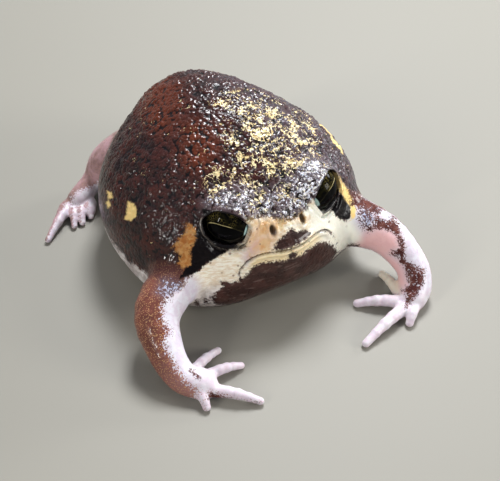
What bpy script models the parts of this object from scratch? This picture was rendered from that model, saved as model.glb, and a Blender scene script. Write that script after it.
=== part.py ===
"""Powers rain frog as a still, life-size model, squatting with its body puffed up.

Sizes are in millimetres. +X is the frog's left, -Y is the way it faces and +Z is
up, and the belly, hands and feet rest on the floor at Z = 0. The flesh is one
smooth form, described by a signed distance and then parted by thin cuts into
the pieces of the body.
"""
import math

import bmesh
import bpy
import numpy as np
from mathutils import Matrix, Vector

MM = 0.001
GAP = 0.3
FRAME_SHIFT = (0.0, -8.49, 0.0)

# Body: a puffed egg about a low centre, with soft swells where it departs from it
BODY_CENTRE = (0.0, 9.9, 8.0)
BODY_FRONT = 16.6
BODY_REAR = 23.7
BODY_SIDE = 22.3
BODY_TOP = 15.6
BODY_BOTTOM = 8.4
BODY_SQUARENESS = 2.39
# Each swell: a place on the skin, how narrow it is, and how far it stands out
SWELLS = {
    "snout": ((0.0, -7.0, 14.0), 26.0, 1.1),
    "brow": ((8.0, -0.5, 18.5), 26.0, -0.9),
    "cheek": ((12.5, -3.5, 9.0), 16.0, -1.3),
    "chin": ((0.0, -7.5, 6.0), 18.0, 1.0),
    "throat": ((0.0, -1.0, 1.5), 18.0, -1.9),
    "shoulder": ((18.5, 3.5, 9.0), 12.0, -1.7),
    "crown": ((0.0, 3.0, 22.5), 12.0, -0.6),
    "apex": ((0.0, 17.0, 29.0), 4.0, 3.6),
    "side": ((20.5, 15.0, 10.0), 8.0, -0.7),
    "keel": ((15.0, 14.0, 1.0), 8.0, -0.3),
    "hip": ((15.0, 27.0, 12.0), 9.0, 0.8),
    "upper_hip": ((9.0, 29.0, 19.0), 9.0, -0.9),
    "rear_back": ((0.0, 30.0, 23.0), 9.0, 3.6),
    "rump": ((0.0, 34.0, 15.0), 9.0, 3.4),
    "vent": ((0.0, 32.0, 5.0), 10.0, -1.9),
}

# Head: the part in front of a round neck cut
NECK_CENTRE = (0.0, -5.0, 13.0)
NECK_RADIUS = 14.5

# Eyes: the left one's centre, the way it looks, and its lids' opening
EYE_CENTRE = (7.55, -1.0, 17.0)
EYE_RADIUS = 3.7
EYE_LOOK = (0.70, -0.65, 0.20)
LID_THICKNESS = 0.4
LID_BLEND = 2.4
OPENING_HALF_WIDTH = 3.3
OPENING_ABOVE = 2.35
OPENING_BELOW = 2.95
OPENING_SQUARENESS = 2.3
OPENING_SIDES = 28
# The opening's plug: distance out from the eye's centre, and how far it spreads there
OPENING_PLUG = ((0.6, 0.9), (6.5, 1.2))
SNOUT_TIP = (0.0, -6.5, 15.0)
BALL_DIVISIONS = 3

# Mouth: a frown that dips at the tip of the snout and drops to its corners
MOUTH_MIDDLE_Z = 12.9
MOUTH_RISE = 0.03
MOUTH_DROP = 0.0009
MOUTH_HALF_WIDTH = 8.3
MOUTH_BACK_Y = -3.0
MOUTH_FADE = 0.5
LIP_HEIGHT = 0.28
LIP_BREADTH = 0.85
JAW_BACK_Y = -1.2
JAW_FRONT_Y = -14.0
JAW_BASE_Z = -3.0
JAW_FLARE = 1.3
JAW_STEPS = 24

NOSTRIL_PLACE = (2.6, -5.7, 16.2)
NOSTRIL_RADII = (0.36, 0.95, 0.62)
NOSTRIL_LEAN = 14.0

# Limbs: joint places with the flesh's radius at each
ARMS = {
    "right": (
        ((-12.5, 2.0, 9.0), 3.9),
        ((-21.0, -3.4, 6.9), 3.4),
        ((-22.8, -8.7, 4.5), 2.6),
        ((-22.3, -12.8, 2.0), 2.15),
        ((-20.1, -15.2, 1.3), 2.2),
    ),
    "left": (
        ((12.5, -0.2, 8.9), 4.6),
        ((17.6, -7.0, 7.8), 3.2),
        ((19.4, -12.7, 4.8), 2.5),
        ((18.8, -15.2, 2.2), 2.5),
        ((17.2, -17.0, 1.4), 1.85),
    ),
}
LEG = (
    ((8.1, 31.5, 8.3), 5.8),
    ((12.2, 34.6, 5.8), 4.25),
    ((16.0, 35.1, 3.4), 2.0),
    ((20.1, 33.2, 1.9), 1.8),
)
# Digits: root and tip on the floor plan, with the radius at each
FINGERS = {
    "right": (
        ((-19.6, -12.1), (-14.8, -10.2), 0.95, 0.64),
        ((-17.9, -14.1), (-13.2, -14.5), 0.96, 0.62),
        ((-18.9, -17.2), (-14.0, -21.6), 1.03, 0.57),
        ((-20.9, -16.3), (-21.2, -18.7), 0.90, 0.61),
    ),
    "left": (
        ((16.1, -14.3), (16.9, -9.3), 0.87, 0.61),
        ((14.6, -15.9), (9.4, -12.7), 1.08, 0.70),
        ((14.4, -17.8), (5.6, -20.3), 1.10, 0.64),
        ((15.9, -18.7), (14.0, -20.3), 0.92, 0.64),
    ),
}
TOES = (
    ((19.1, 31.4), (19.6, 29.0), 0.80, 0.58),
    ((20.5, 31.3), (21.5, 28.1), 0.83, 0.55),
    ((21.7, 31.8), (23.1, 28.0), 0.87, 0.50),
    ((22.4, 32.6), (28.4, 26.8), 1.13, 0.54),
    ((21.9, 33.7), (24.6, 31.9), 0.86, 0.59),
)
DIGGING_PAD = ((18.4, 32.0, 0.9), (19.0, 30.2, 0.9), 1.15, 0.85)
DIGIT_ROOT_Z = 1.2
DIGIT_TIP_Z = 0.55
DIGIT_ARCH = 0.45
DIGIT_WAIST = 0.95
LIMB_BLEND = 1.2
KNUCKLE_BLEND = 0.3
DIGIT_BLEND = 0.7
ROOT_BLEND = 2.2

# Cuts across the limbs: which joint, how far on to the next, and the disc's radius
ARM_CUTS = ((1, 0.0, 5.2), (2, 0.5, 3.9))
LEG_CUTS = ((1, 0.05, 6.4), (2, 0.2, 3.4))
# A cut this near a joint, as a share of the next length, halves the bend there
BEND_SHARE = 0.25
ROOT_CUT_OFFSET = 0.7
ROOT_CUT_RADIUS = 9.5
CUT_SIDES = 24
NECK_DIVISIONS = 4
FLOOR_SIZE = 120.0
FLOOR_DEPTH = 10.0

# Making of the skin: a rough form of balls that is then moved on to the true surface
ROUGH_BODY_CENTRE = (0.0, 13.45, 12.5)
ROUGH_BODY_RADII = (20.1, 18.5, 13.5)
ROUGH_SPACING = 0.5
ROUGH_VOXEL = 0.42
SLOPE_STEP = 0.02
SNAP_STEPS = 6
LEAST_SLOPE = 0.05
SKIN_TRIANGLES = 9500
SHARP_ANGLE = 50.0

PIECE_LOOKS = {
    "torso": ((0.055, 0.030, 0.024), 0.38),
    "head": ((0.075, 0.045, 0.032), 0.38),
    "lower_jaw": ((0.090, 0.055, 0.042), 0.45),
    "eye": ((0.012, 0.012, 0.010), 0.06),
    "upper_arm": ((0.150, 0.085, 0.070), 0.42),
    "forearm": ((0.210, 0.130, 0.110), 0.42),
    "hand": ((0.560, 0.420, 0.430), 0.45),
    "thigh": ((0.120, 0.085, 0.075), 0.42),
    "shank": ((0.230, 0.180, 0.165), 0.42),
    "foot": ((0.560, 0.440, 0.470), 0.45),
}


def soft_min(a, b, blend):
    """The smaller of two distances, rounded over where they are alike."""
    share = np.clip(0.5 + 0.5 * (b - a) / blend, 0.0, 1.0)
    return b + (a - b) * share - blend * share * (1.0 - share)


def mouth_height(x):
    """Height of the mouth line at a distance x from the middle."""
    x = np.clip(x, -MOUTH_HALF_WIDTH, MOUTH_HALF_WIDTH)
    return MOUTH_MIDDLE_Z + MOUTH_RISE * x**2 - MOUTH_DROP * x**4


def body_distance(points):
    """How far points lie outside the head and trunk, along rays from their centre."""
    centre = np.array(BODY_CENTRE)
    offset = points - centre
    offset[:, 0] = np.abs(offset[:, 0])
    reach = np.linalg.norm(offset, axis=1) + 1e-9
    way = offset / reach[:, None]
    ahead = 0.5 - 0.5 * way[:, 1]
    upward = 0.5 + 0.5 * way[:, 2]
    axes = np.stack(
        [
            np.full(len(points), BODY_SIDE),
            BODY_REAR + (BODY_FRONT - BODY_REAR) * ahead,
            BODY_BOTTOM + (BODY_TOP - BODY_BOTTOM) * upward,
        ],
        axis=1,
    )
    power = BODY_SQUARENESS
    radius = ((np.abs(way) / axes) ** power).sum(axis=1) ** (-1.0 / power)
    for place, narrowness, height in SWELLS.values():
        aim = np.array(place) - centre
        aim /= np.linalg.norm(aim)
        swell = np.exp(narrowness * (way @ aim - 1.0))
        if place[0] > 0.0:
            mirrored = aim * (-1.0, 1.0, 1.0)
            swell += np.exp(narrowness * (way @ mirrored - 1.0))
        radius += height * swell
    x, y, z = points.T
    across = 1.0 / (1.0 + np.exp((np.abs(x) - MOUTH_HALF_WIDTH) / MOUTH_FADE))
    in_front = 1.0 / (1.0 + np.exp((y - MOUTH_BACK_Y) / MOUTH_FADE))
    from_line = (z - mouth_height(x)) / LIP_BREADTH
    radius += LIP_HEIGHT * np.exp(-(from_line**2)) * across * in_front
    return reach - radius


def cone_distance(points, start, end, start_radius, end_radius):
    """Distance to a round-ended cone between two places."""
    start = np.array(start, dtype=float)
    along = np.array(end, dtype=float) - start
    share = np.clip((points - start) @ along / (along @ along), 0.0, 1.0)
    nearest = start + share[:, None] * along
    radius = start_radius + share * (end_radius - start_radius)
    return np.linalg.norm(points - nearest, axis=1) - radius


def digit_line(root, tip, root_radius, tip_radius):
    """The three joints of a finger or toe, with its radius at each."""
    start = np.array([*root, DIGIT_ROOT_Z])
    end = np.array([*tip, DIGIT_TIP_Z])
    middle = (start + end) / 2.0 + (0.0, 0.0, DIGIT_ARCH)
    middle_radius = DIGIT_WAIST * (root_radius + tip_radius) / 2.0
    return ((start, root_radius), (middle, middle_radius), (end, tip_radius))


def chain_distance(points, chain, blend):
    """Distance to a limb made of round cones from joint to joint."""
    distance = None
    for (start, start_radius), (end, end_radius) in zip(chain, chain[1:]):
        link = cone_distance(points, start, end, start_radius, end_radius)
        distance = link if distance is None else soft_min(distance, link, blend)
    return distance


def mirrored_chain(chain, side):
    """A chain of the left side, or the same chain on the right."""
    return tuple(((side * x, y, z), radius) for (x, y, z), radius in chain)


def limb_parts():
    """Every limb's chain of joints with the lines of its digits."""
    limbs = {}
    for name, side in (("right", -1), ("left", 1)):
        digits = [digit_line(*finger) for finger in FINGERS[name]]
        limbs["arm_" + name] = (ARMS[name], digits)
        digits = []
        for root, tip, root_radius, tip_radius in TOES:
            near = (side * root[0], root[1])
            far = (side * tip[0], tip[1])
            digits.append(digit_line(near, far, root_radius, tip_radius))
        start, end, start_radius, end_radius = DIGGING_PAD
        pad = ((start, start_radius), (end, end_radius))
        digits.append(mirrored_chain(pad, side))
        limbs["leg_" + name] = (mirrored_chain(LEG, side), digits)
    return limbs


def frog_distance(points, limbs):
    """How far points lie outside the flesh as a whole."""
    distance = body_distance(points)
    mirrored = np.abs(points[:, 0])
    from_eye = np.stack([mirrored, points[:, 1], points[:, 2]], axis=1) - EYE_CENTRE
    lid_radius = EYE_RADIUS + GAP + LID_THICKNESS
    lids = np.linalg.norm(from_eye, axis=1) - lid_radius
    distance = soft_min(distance, lids, LID_BLEND)
    for chain, digits in limbs.values():
        limb = chain_distance(points, chain, LIMB_BLEND)
        for digit in digits:
            finger = chain_distance(points, digit, KNUCKLE_BLEND)
            limb = soft_min(limb, finger, DIGIT_BLEND)
        distance = soft_min(distance, limb, ROOT_BLEND)
    return distance


def slope(points, distance_of):
    """The direction in which a distance grows, at each point."""
    gradient = np.empty_like(points)
    for axis in range(3):
        shift = np.zeros(3)
        shift[axis] = SLOPE_STEP
        ahead = distance_of(points + shift)
        behind = distance_of(points - shift)
        gradient[:, axis] = (ahead - behind) / (2.0 * SLOPE_STEP)
    return gradient


def snap_to_surface(points, distance_of):
    """Moves points on to the surface where the distance is nought."""
    for _ in range(SNAP_STEPS):
        distance = distance_of(points)
        gradient = slope(points, distance_of)
        squared = np.maximum((gradient**2).sum(axis=1), LEAST_SLOPE)
        points = points - (distance / squared)[:, None] * gradient
    return points


def new_collection(name):
    collection = bpy.data.collections.new(name)
    bpy.context.scene.collection.children.link(collection)
    return collection


def object_from_bmesh(shape, name, collection):
    """Wraps a finished bmesh in a new object."""
    mesh = bpy.data.meshes.new(name)
    shape.to_mesh(mesh)
    shape.free()
    item = bpy.data.objects.new(name, mesh)
    collection.objects.link(item)
    return item


def bake_modifiers(item):
    """Replaces an object's mesh with the one that its modifiers give."""
    graph = bpy.context.evaluated_depsgraph_get()
    baked = bpy.data.meshes.new_from_object(item.evaluated_get(graph))
    old = item.data
    item.modifiers.clear()
    item.data = baked
    bpy.data.meshes.remove(old)


def mesh_points(item):
    """An object's vertices in millimetres."""
    flat = np.empty(3 * len(item.data.vertices), dtype=np.float32)
    item.data.vertices.foreach_get("co", flat)
    return flat.reshape(-1, 3).astype(float) / MM


def set_mesh_points(item, points):
    item.data.vertices.foreach_set("co", (points * MM).astype(np.float32).ravel())
    item.data.update()


def add_ball(shape, centre, radii, divisions):
    """Adds an icosphere, stretched to three radii, to a bmesh."""
    scale = Matrix.Diagonal(Vector(radii) * MM).to_4x4()
    place = Matrix.Translation(Vector(centre) * MM) @ scale
    bmesh.ops.create_icosphere(shape, subdivisions=divisions, radius=1.0, matrix=place)


def rough_form(limbs, collection):
    """Overlapping balls along the body and limbs, fused into one closed skin."""
    shape = bmesh.new()
    add_ball(shape, ROUGH_BODY_CENTRE, ROUGH_BODY_RADII, 5)
    for side in (-1, 1):
        x, y, z = EYE_CENTRE
        lid_radius = EYE_RADIUS + GAP + LID_THICKNESS
        add_ball(shape, (side * x, y, z), (lid_radius,) * 3, BALL_DIVISIONS)
    for chain, digits in limbs.values():
        for line in (chain, *digits):
            for (start, start_radius), (end, end_radius) in zip(line, line[1:]):
                start, end = Vector(start), Vector(end)
                spacing = ROUGH_SPACING * min(start_radius, end_radius)
                count = math.ceil((end - start).length / spacing)
                for index in range(count + 1):
                    share = index / count
                    radius = start_radius + share * (end_radius - start_radius)
                    place = start.lerp(end, share)
                    add_ball(shape, place, (radius,) * 3, 2)
    rough = object_from_bmesh(shape, "flesh", collection)
    remesh = rough.modifiers.new("fuse", "REMESH")
    remesh.mode = "VOXEL"
    remesh.voxel_size = ROUGH_VOXEL * MM
    bake_modifiers(rough)
    return rough


def flesh_form(limbs, collection):
    """The whole flesh on its true surface, with few enough faces to build from."""
    flesh = rough_form(limbs, collection)
    points = snap_to_surface(mesh_points(flesh), lambda p: frog_distance(p, limbs))
    set_mesh_points(flesh, points)
    thin = flesh.modifiers.new("thin_out", "DECIMATE")
    faces_now = 2 * len(flesh.data.polygons)
    thin.ratio = SKIN_TRIANGLES / faces_now
    thin.use_collapse_triangulate = True
    bake_modifiers(flesh)
    return flesh


def cut(item, cutter, operation="DIFFERENCE"):
    """Applies a Boolean to an object and keeps the cutter."""
    boolean = item.modifiers.new("cut", "BOOLEAN")
    boolean.operation = operation
    boolean.object = cutter
    bake_modifiers(item)


def connected_parts(item):
    """The separate bodies in a mesh, largest first, as lists of face indices."""
    shape = bmesh.new()
    shape.from_mesh(item.data)
    shape.faces.ensure_lookup_table()
    unseen = set(range(len(shape.faces)))
    parts = []
    while unseen:
        first = unseen.pop()
        part = [first]
        frontier = [first]
        while frontier:
            face = shape.faces[frontier.pop()]
            for edge in face.edges:
                for neighbour in edge.link_faces:
                    if neighbour.index in unseen:
                        unseen.remove(neighbour.index)
                        part.append(neighbour.index)
                        frontier.append(neighbour.index)
        parts.append(part)
    shape.free()
    parts.sort(key=len, reverse=True)
    return parts


def part_of(item, faces, name, collection):
    """A new object with only the given faces of another."""
    shape = bmesh.new()
    shape.from_mesh(item.data)
    shape.faces.ensure_lookup_table()
    keep = set(faces)
    doomed = [face for face in shape.faces if face.index not in keep]
    bmesh.ops.delete(shape, geom=doomed, context="FACES")
    return object_from_bmesh(shape, name, collection)


def keep_largest(item):
    """Drops the loose scraps that a cut can leave."""
    parts = connected_parts(item)
    if len(parts) == 1:
        return
    shape = bmesh.new()
    shape.from_mesh(item.data)
    shape.faces.ensure_lookup_table()
    scraps = [shape.faces[index] for part in parts[1:] for index in part]
    bmesh.ops.delete(shape, geom=scraps, context="FACES")
    shape.to_mesh(item.data)
    shape.free()


def copy_object(item, name, collection):
    twin = item.copy()
    twin.data = item.data.copy()
    twin.name = name
    collection.objects.link(twin)
    return twin


def mark_as_cutter(item):
    item.display_type = "WIRE"
    item.hide_render = True
    return item


def disc_cutter(place, normal, radius, name, cutters):
    """A thin disc that parts a limb, one gap thick."""
    shape = bmesh.new()
    upright = Vector((0.0, 0.0, 1.0))
    turn = upright.rotation_difference(Vector(normal)).to_matrix().to_4x4()
    bmesh.ops.create_cone(
        shape,
        cap_ends=True,
        segments=CUT_SIDES,
        radius1=radius * MM,
        radius2=radius * MM,
        depth=GAP * MM,
        matrix=Matrix.Translation(Vector(place) * MM) @ turn,
    )
    return mark_as_cutter(object_from_bmesh(shape, name, cutters))


def floor_cutter(cutters):
    """A slab whose top is the floor."""
    shape = bmesh.new()
    size = Vector((FLOOR_SIZE, FLOOR_SIZE, FLOOR_DEPTH)) * MM
    below = Vector((0.0, BODY_CENTRE[1], -FLOOR_DEPTH / 2.0)) * MM
    place = Matrix.Translation(below) @ Matrix.Diagonal(size).to_4x4()
    bmesh.ops.create_cube(shape, size=1.0, matrix=place)
    return mark_as_cutter(object_from_bmesh(shape, "floor_cut", cutters))


def ball_cutter(centre, radius, name, cutters, divisions):
    shape = bmesh.new()
    add_ball(shape, centre, (radius,) * 3, divisions)
    return mark_as_cutter(object_from_bmesh(shape, name, cutters))


def root_plane(chain):
    """Where a limb leaves the body: a point just outside the skin, and its normal."""
    inner = np.array(chain[0][0])
    outer = np.array(chain[1][0])
    shares = np.linspace(0.0, 1.0, 200)
    line = inner + shares[:, None] * (outer - inner)
    outside = body_distance(line.copy()) > 0.0
    place = line[np.argmax(outside)] if outside.any() else outer
    normal = slope(place[None, :], lambda p: body_distance(p.copy()))[0]
    normal /= np.linalg.norm(normal)
    return place + ROOT_CUT_OFFSET * normal, normal


def joint_plane(chain, joint, share):
    """A place along a limb and the limb's direction there."""
    joints = [np.array(place) for place, _ in chain]
    ahead = joints[joint + 1] - joints[joint]
    place = joints[joint] + share * ahead
    before = joints[joint] - joints[joint - 1]
    way = ahead / np.linalg.norm(ahead)
    if share < BEND_SHARE:
        way = way + before / np.linalg.norm(before)
    return place, way / np.linalg.norm(way)


def mean_point(item, faces):
    """The mean corner of some of a mesh's faces, in millimetres."""
    corners = {index for face in faces for index in item.data.polygons[face].vertices}
    return mesh_points(item)[sorted(corners)].mean(axis=0)


def part_limbs(flesh, limbs, pieces, cutters):
    """Parts the four limbs from the body, and each limb at its joints."""
    for name, (chain, _) in limbs.items():
        place, normal = root_plane(chain)
        radius = ROOT_CUT_RADIUS
        cut(flesh, disc_cutter(place, normal, radius, "root_cut_" + name, cutters))
    trunk_faces, *limb_faces = connected_parts(flesh)[: 1 + len(limbs)]
    made = {}
    for faces in limb_faces:
        centre = mean_point(flesh, faces)
        kind = "arm" if centre[1] < BODY_CENTRE[1] else "leg"
        name = kind + ("_right" if centre[0] < 0.0 else "_left")
        made[name] = part_of(flesh, faces, name, pieces)
    trunk = part_of(flesh, trunk_faces, "trunk", pieces)
    bpy.data.objects.remove(flesh)
    segment_names = {
        "arm": ("upper_arm", "forearm", "hand"),
        "leg": ("thigh", "shank", "foot"),
    }
    for name, limb in made.items():
        kind, side = name.split("_")
        chain = limbs[name][0]
        for joint, share, radius in ARM_CUTS if kind == "arm" else LEG_CUTS:
            place, way = joint_plane(chain, joint, share)
            cutter_name = f"joint_cut_{name}_{joint}"
            cut(limb, disc_cutter(place, way, radius, cutter_name, cutters))
        start = np.array(chain[0][0])
        spans = connected_parts(limb)[:3]
        spans.sort(key=lambda faces: np.linalg.norm(mean_point(limb, faces) - start))
        for segment, faces in zip(segment_names[kind], spans):
            part_of(limb, faces, f"{segment}_{side}", pieces)
        bpy.data.objects.remove(limb)
    return trunk


def eye_axes(side):
    """An eye's own directions: outward, towards the snout, and up."""
    x, y, z = EYE_LOOK
    outward = Vector((side * x, y, z)).normalized()
    centre = Vector((side * EYE_CENTRE[0], EYE_CENTRE[1], EYE_CENTRE[2]))
    to_snout = Vector(SNOUT_TIP) - centre
    forward = (to_snout - to_snout.dot(outward) * outward).normalized()
    upward = outward.cross(forward) * -side
    return centre, outward, forward, upward


def eye_opening(angle):
    """A point of the lids' margin: towards the snout, and up."""
    reach = 2.0 / OPENING_SQUARENESS
    forward = math.copysign(abs(math.cos(angle)) ** reach, math.cos(angle))
    upward = math.copysign(abs(math.sin(angle)) ** reach, math.sin(angle))
    height = OPENING_ABOVE if upward > 0.0 else OPENING_BELOW
    return forward * OPENING_HALF_WIDTH, upward * height


def loft(rings, name, cutters):
    """A closed body through rings of equal count, each a list of places."""
    shape = bmesh.new()
    rows = [[shape.verts.new(Vector(place) * MM) for place in ring] for ring in rings]
    for lower, upper in zip(rows, rows[1:]):
        for index in range(len(lower)):
            following = (index + 1) % len(lower)
            corners = (lower[index], lower[following], upper[following], upper[index])
            shape.faces.new(corners)
    shape.faces.new(rows[0][::-1])
    shape.faces.new(rows[-1])
    bmesh.ops.recalc_face_normals(shape, faces=shape.faces)
    return mark_as_cutter(object_from_bmesh(shape, name, cutters))


def lid_opening_cutter(side, name, cutters):
    """A flaring plug that opens the lids in front of one eye."""
    centre, outward, forward, upward = eye_axes(side)
    rings = []
    for depth, spread in OPENING_PLUG:
        ring = []
        for index in range(OPENING_SIDES):
            ahead, above = eye_opening(2.0 * math.pi * index / OPENING_SIDES)
            sideways = spread * (ahead * forward + above * upward)
            ring.append(centre + depth * outward + sideways)
        rings.append(ring)
    return loft(rings, name, cutters)


def jaw_block(grow, name, cutters):
    """The space of the lower jaw: below the mouth line, between its corners."""
    half = MOUTH_HALF_WIDTH + grow
    xs = np.linspace(-half, half, JAW_STEPS)
    outline = [(x, mouth_height(x) + grow) for x in xs]
    outline += [(half + JAW_FLARE, JAW_BASE_Z), (-half - JAW_FLARE, JAW_BASE_Z)]
    rings = []
    for y in (JAW_FRONT_Y, JAW_BACK_Y + grow):
        rings.append([(x, y, z) for x, z in outline])
    return loft(rings, name, cutters)


def nostril_cutter(side, name, cutters):
    """A small slanting pit in the snout."""
    shape = bmesh.new()
    add_ball(shape, (0.0, 0.0, 0.0), NOSTRIL_RADII, BALL_DIVISIONS)
    x, y, z = NOSTRIL_PLACE
    lean = Matrix.Rotation(math.radians(-side * NOSTRIL_LEAN), 4, "Y")
    place = Matrix.Translation(Vector((side * x, y, z)) * MM)
    bmesh.ops.transform(shape, matrix=place @ lean, verts=shape.verts)
    return mark_as_cutter(object_from_bmesh(shape, name, cutters))


def part_head(trunk, pieces, cutters):
    """Parts the head from the torso and the lower jaw from the head."""
    head = copy_object(trunk, "head", pieces)
    inner = ball_cutter(NECK_CENTRE, NECK_RADIUS, "neck_inner", cutters, NECK_DIVISIONS)
    outer_radius = NECK_RADIUS + GAP
    outer = ball_cutter(NECK_CENTRE, outer_radius, "neck_outer", cutters, NECK_DIVISIONS)
    cut(head, inner, "INTERSECT")
    cut(trunk, outer)
    trunk.name = "torso"
    jaw = copy_object(head, "lower_jaw", pieces)
    cut(jaw, jaw_block(0.0, "jaw_inner", cutters), "INTERSECT")
    cut(head, jaw_block(GAP, "jaw_outer", cutters))
    socket_radius = EYE_RADIUS + GAP
    for side_name, side in (("right", -1), ("left", 1)):
        x, y, z = EYE_CENTRE
        place = (side * x, y, z)
        name = "socket_" + side_name
        cut(head, ball_cutter(place, socket_radius, name, cutters, BALL_DIVISIONS))
        cut(head, lid_opening_cutter(side, "lid_opening_" + side_name, cutters))
        cut(head, nostril_cutter(side, "nostril_" + side_name, cutters))
        add_eye(side_name, side, pieces)


def add_eye(side_name, side, pieces):
    x, y, z = EYE_CENTRE
    shape = bmesh.new()
    add_ball(shape, (side * x, y, z), (EYE_RADIUS,) * 3, BALL_DIVISIONS)
    object_from_bmesh(shape, "eye_" + side_name, pieces)


def finish_piece(item, parent):
    """Sets a piece's origin, parent, material and shading."""
    keep_largest(item)
    points = mesh_points(item) + FRAME_SHIFT
    low, high = points.min(axis=0), points.max(axis=0)
    centre = (low + high) / 2.0
    set_mesh_points(item, points - centre)
    item.location = Vector(centre) * MM
    item.parent = parent
    kind = item.name.replace("_right", "").replace("_left", "")
    colour, roughness = PIECE_LOOKS[kind]
    material = bpy.data.materials.get(kind) or bpy.data.materials.new(kind)
    material.use_nodes = True
    shader = material.node_tree.nodes["Principled BSDF"]
    shader.inputs["Base Color"].default_value = (*colour, 1.0)
    shader.inputs["Roughness"].default_value = roughness
    shader.inputs["Metallic"].default_value = 0.0
    item.data.materials.clear()
    item.data.materials.append(material)
    item.data.shade_smooth()
    item.data.set_sharp_from_angle(angle=math.radians(SHARP_ANGLE))


def build():
    for item in list(bpy.data.objects):
        bpy.data.objects.remove(item)
    pieces = new_collection("powers_rain_frog")
    cutters = new_collection("cutters")
    limbs = limb_parts()
    flesh = flesh_form(limbs, pieces)
    cut(flesh, floor_cutter(cutters))
    trunk = part_limbs(flesh, limbs, pieces, cutters)
    part_head(trunk, pieces, cutters)
    stand = bpy.data.objects.new("frog_origin", None)
    pieces.objects.link(stand)
    for item in list(pieces.objects):
        if item.type == "MESH":
            finish_piece(item, stand)


build()
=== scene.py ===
"""Looks of the powers rain frog: its skin, eyes and setting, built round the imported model.

Lengths are in millimetres until a mesh is made. +X is the frog's left, -Y the way it
faces and +Z up. The frog's own places are measured from a point FRAME_SHIFT away from
the frame's origin, as they are in the model's source.
"""
import math

import bmesh
import bpy
import numpy as np
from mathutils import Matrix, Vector


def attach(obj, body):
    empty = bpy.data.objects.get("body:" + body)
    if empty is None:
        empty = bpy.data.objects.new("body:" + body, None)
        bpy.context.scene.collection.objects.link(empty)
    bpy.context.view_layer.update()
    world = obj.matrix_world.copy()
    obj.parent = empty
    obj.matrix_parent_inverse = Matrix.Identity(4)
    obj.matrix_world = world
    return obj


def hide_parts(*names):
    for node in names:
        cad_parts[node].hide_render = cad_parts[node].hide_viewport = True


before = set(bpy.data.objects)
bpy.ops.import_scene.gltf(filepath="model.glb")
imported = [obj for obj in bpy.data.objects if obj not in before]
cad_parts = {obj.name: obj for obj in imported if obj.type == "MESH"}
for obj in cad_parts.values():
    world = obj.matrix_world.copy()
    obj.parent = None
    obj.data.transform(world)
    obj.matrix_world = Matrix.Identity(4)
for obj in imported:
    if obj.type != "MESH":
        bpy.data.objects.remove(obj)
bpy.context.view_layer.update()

MM = 0.001
FRAME_SHIFT = np.array((0.0, -8.49, 0.0))

# Camera
CAMERA_PLACE = (-53.04, -86.24, 99.66)
CAMERA_AIM = (-3.25, 0.0, 10.0)
CAMERA_LENS = 61.2
CAMERA_CLIP = (0.005, 10.0)
SENSOR = 36.0
PHOTO_SIZE = (500.0, 481.0)
PIXELS_PER_MM = 6.6

# Body: a puffed egg about a low centre, with soft swells where it departs from it
BODY_CENTRE = np.array((0.0, 9.9, 8.0))
BODY_FRONT = 16.6
BODY_REAR = 23.7
BODY_SIDE = 22.3
BODY_TOP = 15.6
BODY_BOTTOM = 8.4
BODY_SQUARENESS = 2.39
# Each swell: a place on the skin, how narrow it is, and how far it stands out
SWELLS = {
    "snout": ((0.0, -7.0, 14.0), 26.0, 1.1),
    "brow": ((8.0, -0.5, 18.5), 26.0, -0.9),
    "cheek": ((12.5, -3.5, 9.0), 16.0, -1.3),
    "chin": ((0.0, -7.5, 6.0), 18.0, 1.0),
    "throat": ((0.0, -1.0, 1.5), 18.0, -1.9),
    "shoulder": ((18.5, 3.5, 9.0), 12.0, -1.7),
    "crown": ((0.0, 3.0, 22.5), 12.0, -0.6),
    "apex": ((0.0, 17.0, 29.0), 4.0, 3.6),
    "side": ((20.5, 15.0, 10.0), 8.0, -0.7),
    "keel": ((15.0, 14.0, 1.0), 8.0, -0.3),
    "hip": ((15.0, 27.0, 12.0), 9.0, 0.8),
    "upper_hip": ((9.0, 29.0, 19.0), 9.0, -0.9),
    "rear_back": ((0.0, 30.0, 23.0), 9.0, 3.6),
    "rump": ((0.0, 34.0, 15.0), 9.0, 3.4),
    "vent": ((0.0, 32.0, 5.0), 10.0, -1.9),
}

# Eyes, the right one at -1 and the left one at 1: their centres, the way they look, and
# the margin of the lids as distances towards the snout and up from the eye's middle
EYE_CENTRES = {-1: np.array((-7.55, -1.0, 17.0)), 1: np.array((7.55, -1.0, 17.0))}
EYE_LOOKS = {-1: (-0.70, -0.65, 0.20), 1: (0.59, -0.75, 0.29)}
EYE_RADIUS = 3.7
SNOUT_TIP = np.array((0.0, -6.5, 15.0))
LID_THICKNESS = 0.5
LID_BLEND = 2.4
LID_CLEARANCE = 0.03
LID_EDGE = 0.22
LID_SPREAD = 0.7
LID_SPREAD_FORWARD = (-2.5, 0.5)
LID_WIDTH = 0.4
DISH_DEPTH = 0.25
DISH_BLEND = 1.0
DISH_FADE = 2.0
DISH_FADE_HEIGHTS = (-2.4, -0.4)
LID_OVERHANG = 0.3
LID_REACH = 9.6
LID_MARGIN = (
    (-3.1, 0.35), (-1.7, 2.05), (0.0, 2.45), (1.25, 2.4), (2.45, 1.85), (3.32, 0.8),
    (3.3, -1.0), (2.75, -2.3), (1.6, -2.85), (0.3, -2.9), (-0.95, -2.4), (-2.25, -1.2),
)
LID_MARGIN_STEPS = 4
LID_FOLD_OFFSET = 0.72
LID_FOLD_WIDTH = 0.16
LID_FOLD_DEPTH = 0.12
LID_FOLD_MIDDLE = 0.7
LID_FOLD_BAND = 0.8
LID_FOLD_FADE = 0.2

# Mouth and nostrils
MOUTH_MIDDLE_Z = 12.9
MOUTH_RISE = 0.03
MOUTH_DROP = 0.0009
MOUTH_HALF_WIDTH = 8.3
MOUTH_BACK_Y = -3.0
MOUTH_FADE = 0.5
MOUTH_STEPS = 24
MOUTH_CORNER_INSET = 0.5
MOUTH_CORNER_FADE = 0.35
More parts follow.
